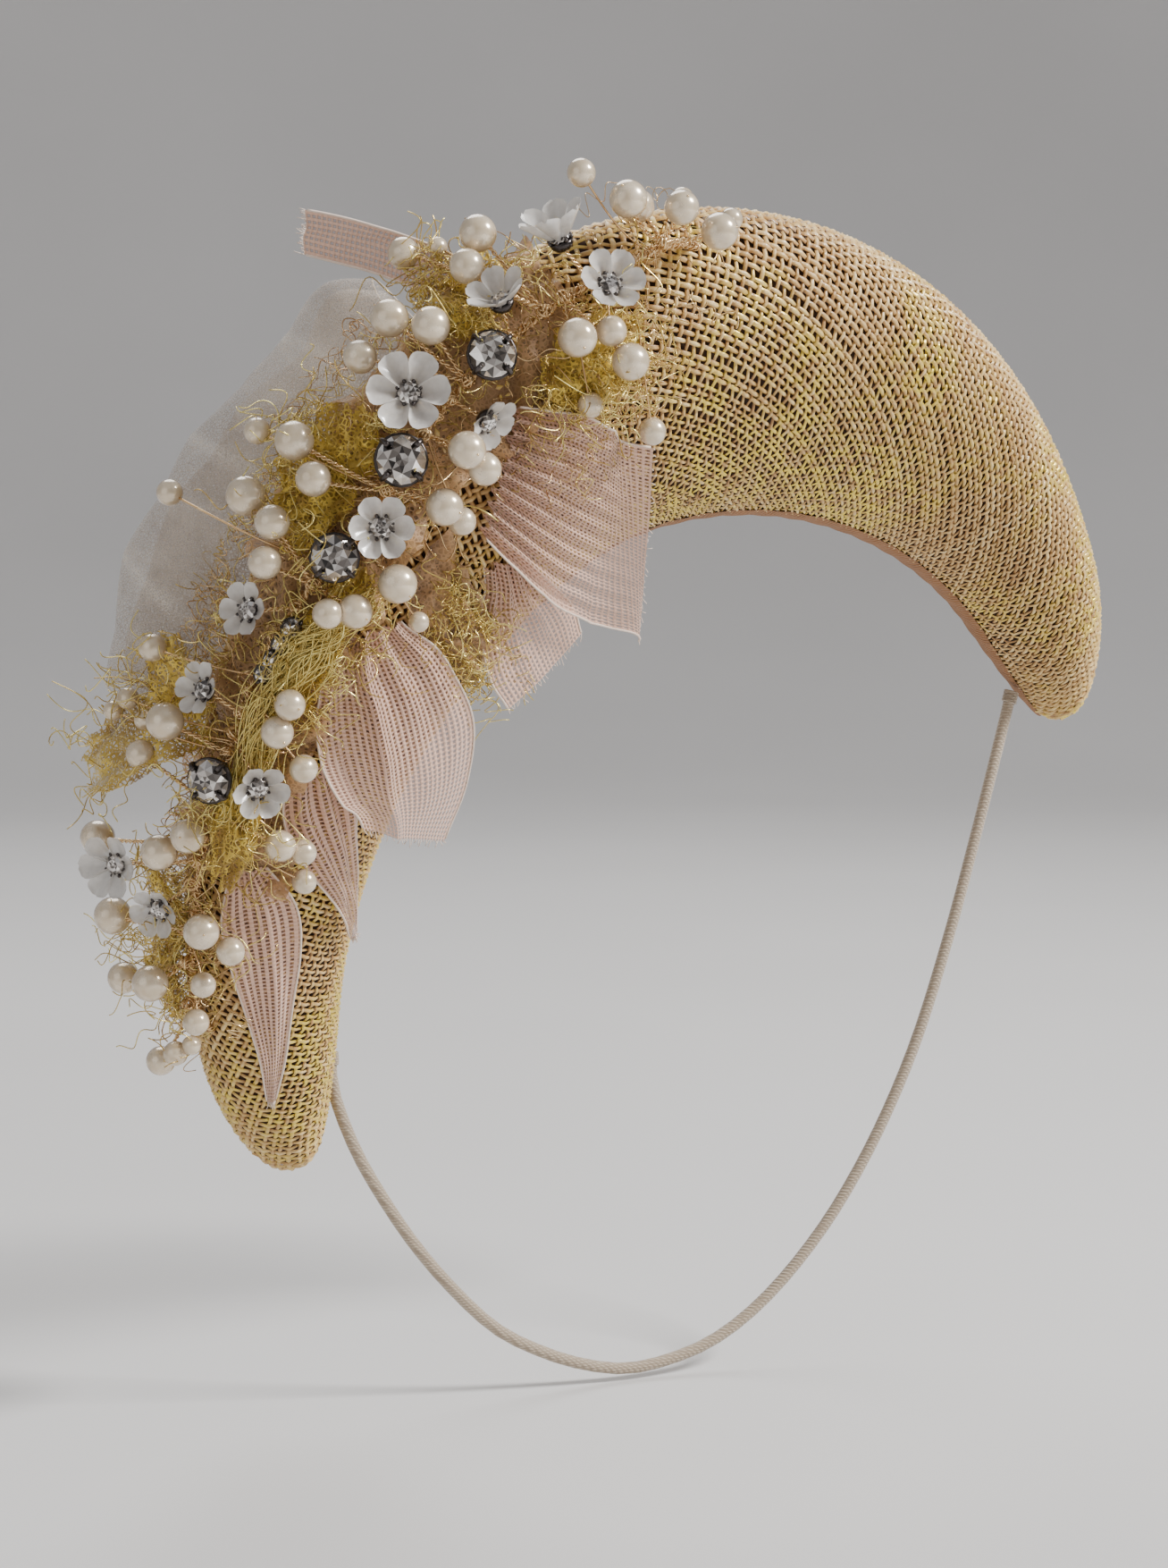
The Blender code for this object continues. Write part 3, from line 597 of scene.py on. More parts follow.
def cloth_piece(name, grid, material, tint=0.5):
    """A sheet over a grid of points, with its flat size in mm as its own coordinates."""
    soup = Soup()
    soup.add_grid(grid, 0, np.broadcast_to(tint, grid.shape[:2]))
    piece = soup.build(name, [material])
    across = np.linalg.norm(np.diff(grid, axis=1), axis=2).mean(axis=0)
    ahead = np.linalg.norm(np.diff(grid, axis=0), axis=2).mean(axis=1)
    u = np.concatenate(([0.0], np.cumsum(across))) / MM
    v = np.concatenate(([0.0], np.cumsum(ahead))) / MM
    spots = np.stack(np.meshgrid(u, v), -1).reshape(-1, 2)
    layer = piece.data.uv_layers.new(name="flat")
    corners = np.zeros(len(piece.data.loops), dtype=int)
    piece.data.loops.foreach_get("vertex_index", corners)
    layer.data.foreach_set("uv", spots[corners].reshape(-1))
    return piece


# The band: padded core, open straw weave and the folded edge on the head side.

CORE_SIDES = 64
CORE_STATIONS = 121
# Pitch in mm and slope of the two families of threads.
A_PITCH = 1.72
A_SLOPE = 0.50
B_PITCH = 1.62
B_SLOPE = 0.34
# The weave's middle over the core, how far threads go over and under, and their share of the pitch.
BASE_LIFT = 0.75
WEAVE_LIFT = 0.34
THREAD_SHARE = 0.43
# How finely the section's turn is tabled along the band and round it.
STATIONS = 360
PARTS = 60


def band_core():
    """The padded band under its straw."""
    half = EDGE_LENGTHS[-1]
    turn = np.linspace(-pi / 2, pi / 2, CORE_STATIONS)
    stations = np.sin(turn) * half * 0.35 + turn / (pi / 2) * half * 0.65
    along = np.interp(stations, EDGE_LENGTHS, EDGE_ANGLES)
    around = np.arange(CORE_SIDES) * 360.0 / CORE_SIDES
    points = place(along[:, None], around[None, :])
    soup = Soup()
    soup.add(points.reshape(-1, 3), tube_faces(CORE_STATIONS, CORE_SIDES))
    core = soup.build("halo_band_core", [LINING])
    keep(core, "straw_weave", "halo_band")


def straw_weave():
    """Two slanting families of fine straw threads, over and under each other."""
    fine = np.linspace(-TIP_ALONG + 0.3, TIP_ALONG - 0.3, 1501)
    centres = section(fine)[0]
    steps = np.linalg.norm(np.diff(centres, axis=0), axis=1) / MM
    reach = np.concatenate(([0.0], np.cumsum(steps)))
    reach -= reach[-1] / 2
    end = reach[-1]
    knots = np.linspace(-end, end, STATIONS + 1)
    half_turn = np.linspace(0, 180, 91)
    rims = place(np.interp(knots, reach, fine)[:, None], half_turn[None, :])
    arcs = np.cumsum(np.linalg.norm(np.diff(rims, axis=1), axis=2), axis=1) / MM
    arcs = np.concatenate((np.zeros((STATIONS + 1, 1)), arcs), axis=1)
    perimeter = arcs[:, -1]
    shares = np.linspace(0, 1, PARTS + 1)
    turning = np.array([np.interp(shares, row / row[-1], half_turn) for row in arcs])

    def around_at(u, p):
        """Degrees round the section at p mm from the outer rim."""
        share = np.clip(np.abs(p) / np.interp(u, knots, perimeter), 0, 1) * PARTS
        row = np.clip((u + end) / (2 * end) * STATIONS, 0, STATIONS - 0.001)
        i = row.astype(int)
        j = np.minimum(share.astype(int), PARTS - 1)
        fi = row - i
        fj = share - j
        low = turning[i, j] * (1 - fj) + turning[i, j + 1] * fj
        high = turning[i + 1, j] * (1 - fj) + turning[i + 1, j + 1] * fj
        return np.sign(p) * (low * (1 - fi) + high * fi)

    def lay(soup, u, p, lift, share, tint):
        """One thread; its width follows the pitch that the curved band leaves it."""
        along = np.interp(u, reach, fine)
        around = around_at(u, p)
        beside = np.interp(u + 0.5, reach, fine)
        points, normals = surface(along, around, lift)
        spread = np.linalg.norm(place(beside, around, lift) - points, axis=1) / (0.5 * MM)
        width = share * np.clip(spread, 0.55, 1.3) * MM
        strip(soup, points, normals, width, 0.36 * width + 0.05 * MM, tint)

    most = perimeter.max()
    a_lines = np.arange(-most - A_SLOPE * end, most + A_SLOPE * end, A_PITCH)
    b_lines = np.arange(-end - B_SLOPE * most, end + B_SLOPE * most, B_PITCH)
    a_lines += RNG.normal(0, 0.07, len(a_lines))
    b_lines += RNG.normal(0, 0.07, len(b_lines))
    a_drift = RNG.uniform(0, 2 * pi, len(a_lines))
    whole = 1 + A_SLOPE * B_SLOPE
    u = (b_lines[None, :] + B_SLOPE * a_lines[:, None]) / whole
    p = a_lines[:, None] - A_SLOPE * u + 0.3 * np.sin(u / 31 + a_drift[:, None])
    inside = (np.abs(u) < end - 0.5) & (np.abs(p) < 0.97 * np.interp(u, knots, perimeter))
    for name, pitch, over, tables in (
            ("straw_threads_slanting", A_PITCH, -1, (u, p, inside)),
            ("straw_threads_crossing", B_PITCH, 1, (u.T, p.T, inside.T))):
        soup = Soup()
        for line, (u_line, p_line, here) in enumerate(zip(*tables)):
            spots = np.nonzero(here)[0]
            if len(spots) < 4:
                continue
            sign = np.where((spots + line) % 2 == 0, 1.0, -1.0) * over
            path = []
            for values in (u_line[spots], p_line[spots], BASE_LIFT + sign * WEAVE_LIFT, sign):
                whole_path = np.empty(2 * len(spots) - 1)
                whole_path[::2] = values
                whole_path[1::2] = (values[1:] + values[:-1]) / 2
                path.append(whole_path)
            wander = np.sin(path[0] * 0.13 + line)
            # Painted shade: the tint is raised by 0.2 where a thread goes over the other family and
            # lowered by 0.2 where it goes under.
            tint = RNG.normal(0.5, 0.11) + 0.1 * wander + 0.2 * path[3]
            share = THREAD_SHARE * pitch * RNG.uniform(0.86, 1.16)
            lay(soup, *path[:3], share, tint)
        keep(soup.build(name, [STRAW]), "straw_weave")


def edge_binding():
    """The folded edge that closes the weave along the head side. It reaches round to the lower front
    contour, where its dark brown also paints the shade of the crease there.
    """
    rows, columns = 260, 9
    stations = np.linspace(-0.985, 0.985, rows)[:, None] * EDGE_LENGTHS[-1]
    along = np.interp(stations, EDGE_LENGTHS, EDGE_ANGLES)
    share = np.linspace(-1, 1, columns)[None, :]
    wave = 0.25 * np.sin(np.arange(rows) * 0.9)[:, None]
    fullness = np.abs(np.cos(along / TIP_ALONG * pi / 2))
    # Reaching round to about 171 degrees puts the dark binding on the lower front contour as painted
    # shade.
    around = 194 + share * (23 - 3 * fullness)
    lift = 1.5 + 0.4 * wave - 0.3 * share ** 6
    grid = place(along, around, lift)
    piece = cloth_piece("head_edge_binding", grid, BINDING)
    keep(piece, "straw_weave")


# The elastic.

# Sideways and up, in the one plane in which the elastic hangs.
ELASTIC_ROUTE = [(x, 0.038, z) for x, z in (
    (-0.0450, -0.102), (-0.0448, -0.107), (-0.0435, -0.113), (-0.0395, -0.123), (-0.0345, -0.132),
    (-0.0280, -0.142), (-0.0200, -0.152), (-0.0100, -0.162), (0.0000, -0.168), (0.0100, -0.172),
    (0.0200, -0.174), (0.0300, -0.173), (0.0400, -0.170), (0.0500, -0.164), (0.0600, -0.155),
    (0.0700, -0.143), (0.0800, -0.127), (0.0890, -0.108), (0.0970, -0.085), (0.1035, -0.063),
    (0.1085, -0.045), (0.1120, -0.032),
)]


def elastic():
    """The round elastic from tip to tip."""
    route = curve_through(ELASTIC_ROUTE, 60)
    curve = bpy.data.curves.new("elastic_round", "CURVE")
    curve.dimensions = "3D"
    curve.bevel_depth = 1.25 * MM
    curve.bevel_resolution = 4
    curve.use_fill_caps = True
    spline = curve.splines.new("POLY")
    spline.points.add(len(route) - 1)
    for spot, point in zip(spline.points, route):
        spot.co = (*point, 1.0)
    curve.materials.append(ELASTIC)
    cord = bpy.data.objects.new("elastic_round", curve)
    bpy.context.scene.collection.objects.link(cord)
    keep(cord, "elastic", "elastic_cord")
    ties = Soup()
    for end, beyond in ((route[0], route[1]), (route[-1], route[-2])):
        ahead = unit(beyond - end)
        turns = np.linspace(0, 7 * 2 * pi, 84)
        coil = circle(turns, *frame_on(ahead))
        path = end + coil * 1.5 * MM + np.outer(turns / turns[-1] * 2.6 * MM, ahead)
        wire(ties, path, 0.22 * MM, 5)
    keep(ties.build("elastic_stitches", [ELASTIC]), "elastic")


# Camera, light and floor.

CAMERA_AT = Vector((-0.2011, -0.4775, -0.0065))
LOOK_AT = Vector((-0.0025, 0.0074, -0.0470))
# The floor: its height, the radius of its flat part, of its bend, and how high its wall goes.
FLOOR_HEIGHT = -0.1765
FLOOR_RADIUS = 1.5
FLOOR_BEND = 1.2
WALL_TOP = 2.0


def stage_and_light():
    """A pale floor that bends up into a wall, soft light mostly from the right, and the camera."""
    scene = bpy.context.scene
    sides = 96
    flat = circle(full_turn(sides), (1, 0, 0), (0, 1, 0))
    bend = np.linspace(0, pi / 2, 12)
    radii = np.append(FLOOR_RADIUS + FLOOR_BEND * np.sin(bend), FLOOR_RADIUS + FLOOR_BEND)
    heights = np.append(FLOOR_BEND - FLOOR_BEND * np.cos(bend), WALL_TOP) + FLOOR_HEIGHT
    rings = [flat * radius + (0, 0, height) for radius, height in zip(radii, heights)]
    faces = [face[::-1] for face in tube_faces(len(rings), sides)[:-1]]
    mesh = bpy.data.meshes.new("floor")
    mesh.from_pydata(np.concatenate(rings).tolist(), [], faces)
    mesh.polygons.foreach_set("use_smooth", [True] * len(faces))
    mesh.materials.append(stage_look())
    floor = bpy.data.objects.new("floor", mesh)
    scene.collection.objects.link(floor)
    world = bpy.data.worlds.new("soft_room")
    world.use_nodes = True
    back = world.node_tree.nodes["Background"]
    back.inputs["Color"].default_value = srgb(206, 206, 210)
    back.inputs["Strength"].default_value = 0.64
    scene.world = world
    for name, place_at, size, power in (
            ("key_right", (0.85, -0.62, 0.80), 0.36, 31.0),
            ("fill_left", (-1.1, -0.55, 0.25), 1.1, 2.0),
            ("top_back", (0.1, 0.8, 1.1), 0.9, 9.0)):
        light = bpy.data.lights.new(name, "AREA")
        light.shape = "DISK"
        light.size = size
        light.energy = power
        lamp = bpy.data.objects.new(name, light)
        lamp.location = place_at
        lamp.rotation_euler = (-Vector(place_at)).to_track_quat("-Z", "Y").to_euler()
        scene.collection.objects.link(lamp)
    camera = bpy.data.cameras.new("camera")
    camera.lens = 62.0
    camera.sensor_width = 36.0
    view = bpy.data.objects.new("camera", camera)
    view.location = CAMERA_AT
    view.rotation_euler = (LOOK_AT - CAMERA_AT).to_track_quat("-Z", "Y").to_euler()
    scene.collection.objects.link(view)
    scene.camera = view


# Ribbons, tulle and gold mesh.

def smooth_noise(rows, columns, cells_down, cells_across, seed):
    """A smooth random height field of about -1 to 1."""
    draw = np.random.default_rng(seed)
    coarse = draw.uniform(-1, 1, (cells_down + 3, cells_across + 3))
    y = np.linspace(0, cells_down, rows) + 1
    x = np.linspace(0, cells_across, columns) + 1
    i = np.minimum(y.astype(int), cells_down)
    j = np.minimum(x.astype(int), cells_across)
    fy = (y - i)[:, None]
    fx = (x - j)[None, :]
    fy = fy * fy * (3 - 2 * fy)
    fx = fx * fx * (3 - 2 * fx)
    low = coarse[i][:, j] * (1 - fx) + coarse[i][:, j + 1] * fx
    high = coarse[i + 1][:, j] * (1 - fx) + coarse[i + 1][:, j + 1] * fx
    return low * (1 - fy) + high * fy


# Along, around, lift, half width and lead of the lower edge, as in the frame.
RIBBONS = {
    "ribbon_fan": ((-12.4, -59, 3.0, 11.5, 3), (-11.2, -71, 3.6, 13.5, 5.5),
                   (-9.8, -83, 4.0, 15.5, 8.5), (-8.0, -96, 4.6, 16.5, 11),
                   (-5.8, -107, 6.0, 17, 12.5), (-3.0, -116, 9.0, 17, 13.5)),
    "ribbon_loop": ((-15.8, -91, 1.0, 5, 0), (-17.0, -101, 1.4, 5.5, 0),
                    (-18.6, -112, 3.8, 8.8, 0), (-20.0, -123, 7.5, 11, 0),
                    (-21.2, -131, 11, 10.5, 0)),
    "ribbon_wide_tail": ((-27.9, -55, 2.9, 6, 0), (-29.4, -61, 4.2, 9.5, 0),
                         (-31.7, -73, 5.8, 13, -1), (-35.2, -86, 7.6, 15.5, -3),
                         (-39.4, -96, 9.2, 14, -5), (-43.0, -101, 10, 10.5, -6.5)),
    "ribbon_tail_long": ((-39.5, -53, 2.9, 4.5, 0), (-43.0, -62, 3.4, 7, 0),
                         (-47.2, -77, 3.6, 5.2, 0), (-51.6, -93, 3.4, 2.8, 0),
                         (-56.6, -108, 3.2, 0.8, 0)),
    "ribbon_tail_low": ((-50.0, -32, 2.6, 3.5, 0), (-53.9, -41, 2.2, 7, 0),
                        (-58.8, -47, 1.8, 6.5, 0), (-64.3, -50, 1.5, 4.5, 0),
                        (-70.3, -50, 1.3, 2.5, 0), (-76.0, -44, 1.2, 0.8, 0)),
    "ribbon_cut_end": ((-5.5, 14, 2.2, 3.5, 0), (-7.0, 20, 9, 4.2, 0),
                       (-9.0, 26, 18, 4.2, 0), (-11.2, 29, 27, 4.2, 0)),
}
# Pleats at the root, their height and how fast they die out, then the bend across in mm.
RIBBON_FOLDS = {
    "ribbon_fan": (5.0, 1.9, 1.6, 0.6),
    "ribbon_loop": (2.0, 1.0, 1.0, -1.5),
    "ribbon_wide_tail": (2.0, 0.9, 1.6, -1.0),
    "ribbon_tail_long": (1.5, 0.9, 1.0, -1.2),
    "ribbon_tail_low": (1.0, 0.6, 0.8, -0.8),
    "ribbon_cut_end": (1.0, 0.3, 1.0, 0.7),
}


def ribbon_surface(name, rows=110, columns=61):
    """A ribbon's points and its tint, with painted shading along the folds."""
    table = curve_through(RIBBONS[name], rows)
    along, around, lift, half, lead = table.T
    middle = place(along, around, lift)
    ahead = unit(np.gradient(middle, axis=0))
    if name == "ribbon_cut_end":
        face = -section(along)[2] @ TILT.T
    else:
        face = normal_at(along, around)
    side = unit(np.cross(ahead, face))
    share = np.linspace(-1, 1, columns)[None, :]
    wide = side * half[:, None] + ahead * lead[:, None]
    grid = middle[:, None, :] + wide[:, None, :] * share[..., None] * MM
    pleats, high, dying, bend = RIBBON_FOLDS[name]
    t = np.linspace(0, 1, rows)[:, None]
    wave = np.cos(pleats * 2 * pi * (share + 0.2)) * high * (1 - t) ** dying
    wave = wave + bend * (share ** 2 - 0.4) * np.sin(pi * np.clip(t * 0.8 + 0.1, 0, 1))
    wave = wave + 0.5 * smooth_noise(rows, columns, 5, 3, 11 + len(name))
    if name == "ribbon_wide_tail":
        turned = np.clip((share - 0.38) / 0.3, 0, 1)
        ridge = np.exp(-((share - 0.36) / 0.1) ** 2)
        wave = wave + (1.3 * ridge - 3.2 * turned ** 1.5) * np.sin(pi * (0.12 + 0.8 * t)) ** 0.6
    # Painted shading: the tint is lower where the folds rise and higher in their troughs.
    shade = np.clip(0.55 - wave * 0.14, 0, 1)
    wave = wave + max(0.0, high * 0.75)
    return grid + face[:, None, :] * wave[..., None] * MM, shade


def ribbons():
    """The sheer ribbed ribbons, each from its gathered root to its cut end."""
    for name in RIBBONS:
        grid, shade = ribbon_surface(name)
        material = MESH_RIBBON if name in ("ribbon_fan", "ribbon_loop") else RIBBED_RIBBON
        piece = cloth_piece(name + "_cloth", grid, material, shade)
        keep(piece, "ribbon", name)
        frayed_end(name, grid)


def frayed_end(name, grid):
    """Firm selvedge threads on both sides and short loose threads at the cut end."""
    soup = Soup()
    draw = np.random.default_rng(len(name) * 7)
    for column in (0, grid.shape[1] - 1):
        wire(soup, grid[::3, column], 0.22 * MM, 5, 0, 0.8)
    end = grid[-1]
    ahead = unit(grid[-1] - grid[-3])
    for k in range(0, grid.shape[1], 2):
        reach = draw.uniform(0.4, 1.5) * MM
        bend = draw.normal(0, 0.35, 3) * MM
        path = [end[k], end[k] + ahead[k] * reach * 0.5 + bend * 0.4, end[k] + ahead[k] * reach + bend]
        wire(soup, path, 0.09 * MM, 3, 0, 0.8)
    keep(soup.build(name + "_edges", [EDGE_THREAD]), "ribbon")


def tulle_base():
    """The gathered net under the vine, in small radial ruffles."""
    rows, columns = 150, 36
    along = np.linspace(-1.5, -51.5, rows)[:, None]
    share = np.linspace(0, 1, columns)[None, :]
    ragged = smooth_noise(rows, columns, 22, 2, 5)
    around = -54 + 64 * share + 5 * ragged * np.abs(share - 0.5) * 2
    out = np.abs(share - 0.5) * 2
    ruffle = np.sin(along * 1.45 + 3 * smooth_noise(rows, columns, 9, 4, 6)) * (0.7 + 2.0 * out ** 2)
    lift = 2.2 + ruffle + 1.6 * out ** 3 + 0.9 * smooth_noise(rows, columns, 40, 9, 8)
    lift = np.maximum(lift, 1.1)
    grid = place(along, around, lift)
    # Painted shade: the tint rises with the lift, so the net is darker where it lies low on the band and
    # lighter on the raised ruffles.
    piece = cloth_piece("tulle_base_net", grid, BASE_NET, np.clip(0.35 + lift * 0.1, 0, 1))
    keep(piece, "tulle", "tulle_base")


# Around and lift across the puff at its full size, then its size along the band.
PUFF_PROFILE = ((30, 1.4), (33, 12), (37, 23), (45, 30), (58, 24), (72, 12), (84, 1.6))
PUFF_SIZES = ((-9, 0.45), (-12, 0.70), (-16, 0.60), (-20, 0.68), (-24, 0.73), (-28, 0.78),
              (-34, 0.80), (-40, 0.74), (-43, 0.68))


def puff_grid(shrink, seed, crease_at, rows=110, columns=60):
    """One sheer layer of the puff with its soft folds, and its tint with painted highlights along the
    fold crests.
    """
    sizes = curve_through(PUFF_SIZES, 90)
    profile = curve_through(PUFF_PROFILE, columns)
    along = np.linspace(-9.2, -43.0, rows)
    size = np.interp(-along, -sizes[:, 0], sizes[:, 1]) * shrink
    folds = smooth_noise(rows, columns, 5, 2, seed)
    bend = along[:, None] * 0.30 + 1.0 * smooth_noise(rows, columns, 3, 2, seed + 1)
    crease = 1 - np.abs(((bend / pi + crease_at) % 1.0) * 2 - 1)
    tall = np.sin(np.linspace(0, pi, columns))[None, :]
    change = 0.05 * folds + 0.09 * (crease - 0.5)
    lift = 1.5 + (profile[None, :, 1] - 1.5) * size[:, None] * (1 + change * tall)
    around = profile[None, :, 0] + 3.0 * folds * tall
    # Painted highlight: the tint rises sharply along the crease crests and a little on the raised folds.
    shade = np.clip(0.30 + 0.65 * np.clip(crease * 4 - 3, 0, 1) ** 2 + 0.12 * folds, 0, 1)
    return place(along[:, None], around, lift), shade


def tulle_puff():
    """The sheer puff behind the vine, in two nested layers with fold lines."""
    layers = ((1.0, 21, 0.0, ["tulle_puff"]), (0.82, 34, 0.3, []))
    for number, (shrink, seed, crease_at, nodes) in enumerate(layers, start=1):
        grid, shade = puff_grid(shrink, seed, crease_at)
        piece = cloth_piece(f"tulle_puff_layer_{number}", grid, TULLE, shade)
        keep(piece, "tulle", *nodes)
        if nodes:
            soup = Soup()
            for row in (0, grid.shape[0] - 1):
                wire(soup, grid[row, ::2], 0.16 * MM, 4, 0, 0.8)
            keep(soup.build("tulle_puff_folds", [TULLE_EDGE]), "tulle")


# Gold mesh: each tuft's root, then each lock's tip with its width in mm.
TUFTS = {
    "gold_tuft_top": ((-6.5, -6, 2.9), ((-10.0, 4, 5.5, 9), (-4.0, 4, 6, 8), (-9.0, -14, 4.5, 7))),
    "gold_tuft_front": ((-4.0, -40, 3.4), ((-1.5, -62, 5, 9), (-4.5, -58, 5.5, 8), (1.5, -50, 4, 8))),
    "gold_tuft_outer": ((-20.5, -14, 2.9), ((-23.5, 6, 7, 11), (-17.0, 0, 6, 9), (-26.5, -8, 5.5, 8))),
    "gold_tuft_middle": ((-28.0, -37, 2.9), ((-33.0, -32, 6.5, 6), (-36.0, -31, 5, 6),
                                             (-24.5, -40, 4.5, 5))),
    "gold_tuft_lower": ((-40.0, -27, 3.4), ((-46.5, -22, 5.5, 6), (-51.0, -20, 5, 6))),
    "gold_tuft_side": ((-40.0, 10, 3.0), ((-48.5, 34, 19, 12), (-37.0, 26, 13, 8))),
    "gold_tuft_end": ((-57.0, 13, 1.1), ((-63.5, 20, 7, 7), (-53.0, 18, 6, 7), (-66.0, 13, 4, 4))),
}


def curl(draw, start, ahead, lengths, sizes, points, most):
    """A springy thread that wanders from a point, its length and size drawn from ranges in mm."""
    length = draw.uniform(*lengths) * MM
    size = draw.uniform(*sizes) * MM
    turns = draw.uniform(most / 3, most)
    side, up = frame_on(ahead)
    t = np.linspace(0, 1, points)
    phase = draw.uniform(0, 2 * pi)
    swirl = np.outer(np.cos(turns * 2 * pi * t + phase), side)
    swirl = swirl + np.outer(np.sin(turns * 2 * pi * t * draw.uniform(0.7, 1.3)), up)
    drift = np.outer(t ** 2, unit(draw.normal(0, 1, 3))) * length * 0.3
    return start + np.outer(t * length, ahead) + drift + swirl * size * np.sqrt(t)[:, None]


def gold_tufts():
    """Each tuft: crumpled gold gauze along its locks and a cloud of fine curled threads."""
    for number, (name, (root, tips)) in enumerate(TUFTS.items()):
        foot = place(*root)
        up = normal_at(root[0], root[1])
        sheets = Soup()
        threads = Soup()
        draw = np.random.default_rng(100 + number)
        for lock, (along, around, lift, width) in enumerate(tips):
            tip = place(along, around, lift)
            ahead = tip - foot
            reach = np.linalg.norm(ahead)
            side = unit(np.cross(ahead, up))
            face = unit(np.cross(side, ahead))
            for layer in range(2):
                rows, columns = 30, 22
                t = np.linspace(0, 1, rows)[:, None]
                share = np.linspace(-1, 1, columns)[None, :]
                spread = (0.5 + 0.62 * np.sin(pi * np.clip(t * 0.75 + 0.1, 0, 1))) * width / 2 * 1.25 * MM
                spread = spread * (1 + 0.16 * smooth_noise(rows, columns, 6, 1, 300 + lock + 9 * number))
                rough = smooth_noise(rows, columns, 6, 5, 200 + layer + 7 * lock + 31 * number)
                pleat = np.sin(share * 7 + layer * 2 + 3 * rough) * 0.55
                height = (0.7 + layer * 1.1 + pleat + rough * 0.8) * MM * (0.5 + 0.7 * t)
                height = height + reach * 0.14 * np.sin(pi * t)
                far = np.clip(t * (1 + 0.10 * smooth_noise(rows, columns, 3, 8, 500 + lock)), 0, 1.06)
                grid = foot + far[..., None] * ahead + (share * spread)[..., None] * side
                grid = grid + height[..., None] * face
                # Painted shading: the gauze is lighter where its pleats and bumps rise and darker in the
                # hollows between them.
                shade = np.clip(0.45 + 0.4 * rough + 0.2 * pleat, 0, 1)
                sheets.add_grid(grid, 0, shade)
                for _ in range(17):
                    i = int(draw.integers(6, rows))
                    j = int(draw.choice((0, columns - 1, int(draw.integers(0, columns)))))
                    start = grid[min(i, rows - 1), j]
                    outward = unit(side * np.sign(j - columns / 2 + 0.1) * 0.5 + face * 0.5
                                   + unit(ahead) * draw.uniform(-0.3, 0.9) + draw.normal(0, 0.35, 3))
                    path = curl(draw, start, outward, (4, 12), (0.8, 2.6), 26, 2.4)
                    wire(threads, path, 0.12 * MM, 3, 0, draw.uniform(0.2, 1.0))
        keep(sheets.build(name + "_gauze", [GAUZE]), "gold_mesh", name)
        keep(threads.build(name + "_threads", [GOLD]), "gold_mesh")


def gauze_fringe():
    """The torn gauze between the fan and the wide tail, with long loose threads."""
    soup = Soup()
    draw = np.random.default_rng(61)
    rows, columns = 70, 34
    share = np.linspace(0, 1, columns)[None, :]
    t = np.linspace(0, 1, rows)[:, None]
    rough = smooth_noise(rows, columns, 10, 6, 62)
    along = -18.2 - 6.2 * share - 4.2 * t + 0.7 * rough
    around = -60 - (58 - 16 * np.abs(share - 0.35)) * t + 3 * smooth_noise(rows, columns, 3, 12, 63) * t
    lift = 2.6 + 1.5 * t + 0.9 * np.sin(share * 19 + 2 * t) * (0.4 + t) + 0.8 * rough
    grid = place(along, around, np.maximum(lift, 1.4))
    soup.add_grid(grid, 0, np.clip(0.5 + 0.4 * rough, 0, 1))
    keep(soup.build("gauze_fringe_net", [BASE_NET]), "gold_mesh")
    threads = Soup()
    for _ in range(170):
        j = int(draw.integers(0, columns))
        i = int(draw.integers(8, rows))
        start = grid[i, j]
        ahead = unit(grid[min(i + 2, rows - 1), j] - grid[i - 4, j] + draw.normal(0, 0.6, 3) * MM)
        up = normal_at(along[i, j], around[i, j])
        ahead = unit(ahead + up * draw.uniform(0.0, 0.35))
        path = curl(draw, start, ahead, (4, 12), (0.5, 2.0), 24, 3.0)
        wire(threads, path, 0.11 * MM, 3, 0, draw.uniform(0.2, 1.0))
    keep(threads.build("gauze_fringe_threads", [GOLD]), "gold_mesh")


# The vine: its wires, pearls, flowers and stones.

# The stem's along, around and lift.
VINE = ((9, -21, 1.2), (6, -21, 4.5), (1, -25, 6), (-8, -27, 6), (-16, -29, 6), (-22, -31, 6),
        (-28, -24, 6), (-34, -18, 6), (-42, -15, 6), (-50, -9, 6), (-58, -5, 6), (-64, -3, 5),
        (-68, -2, 1.2))
KNOT_RISE = 2.35
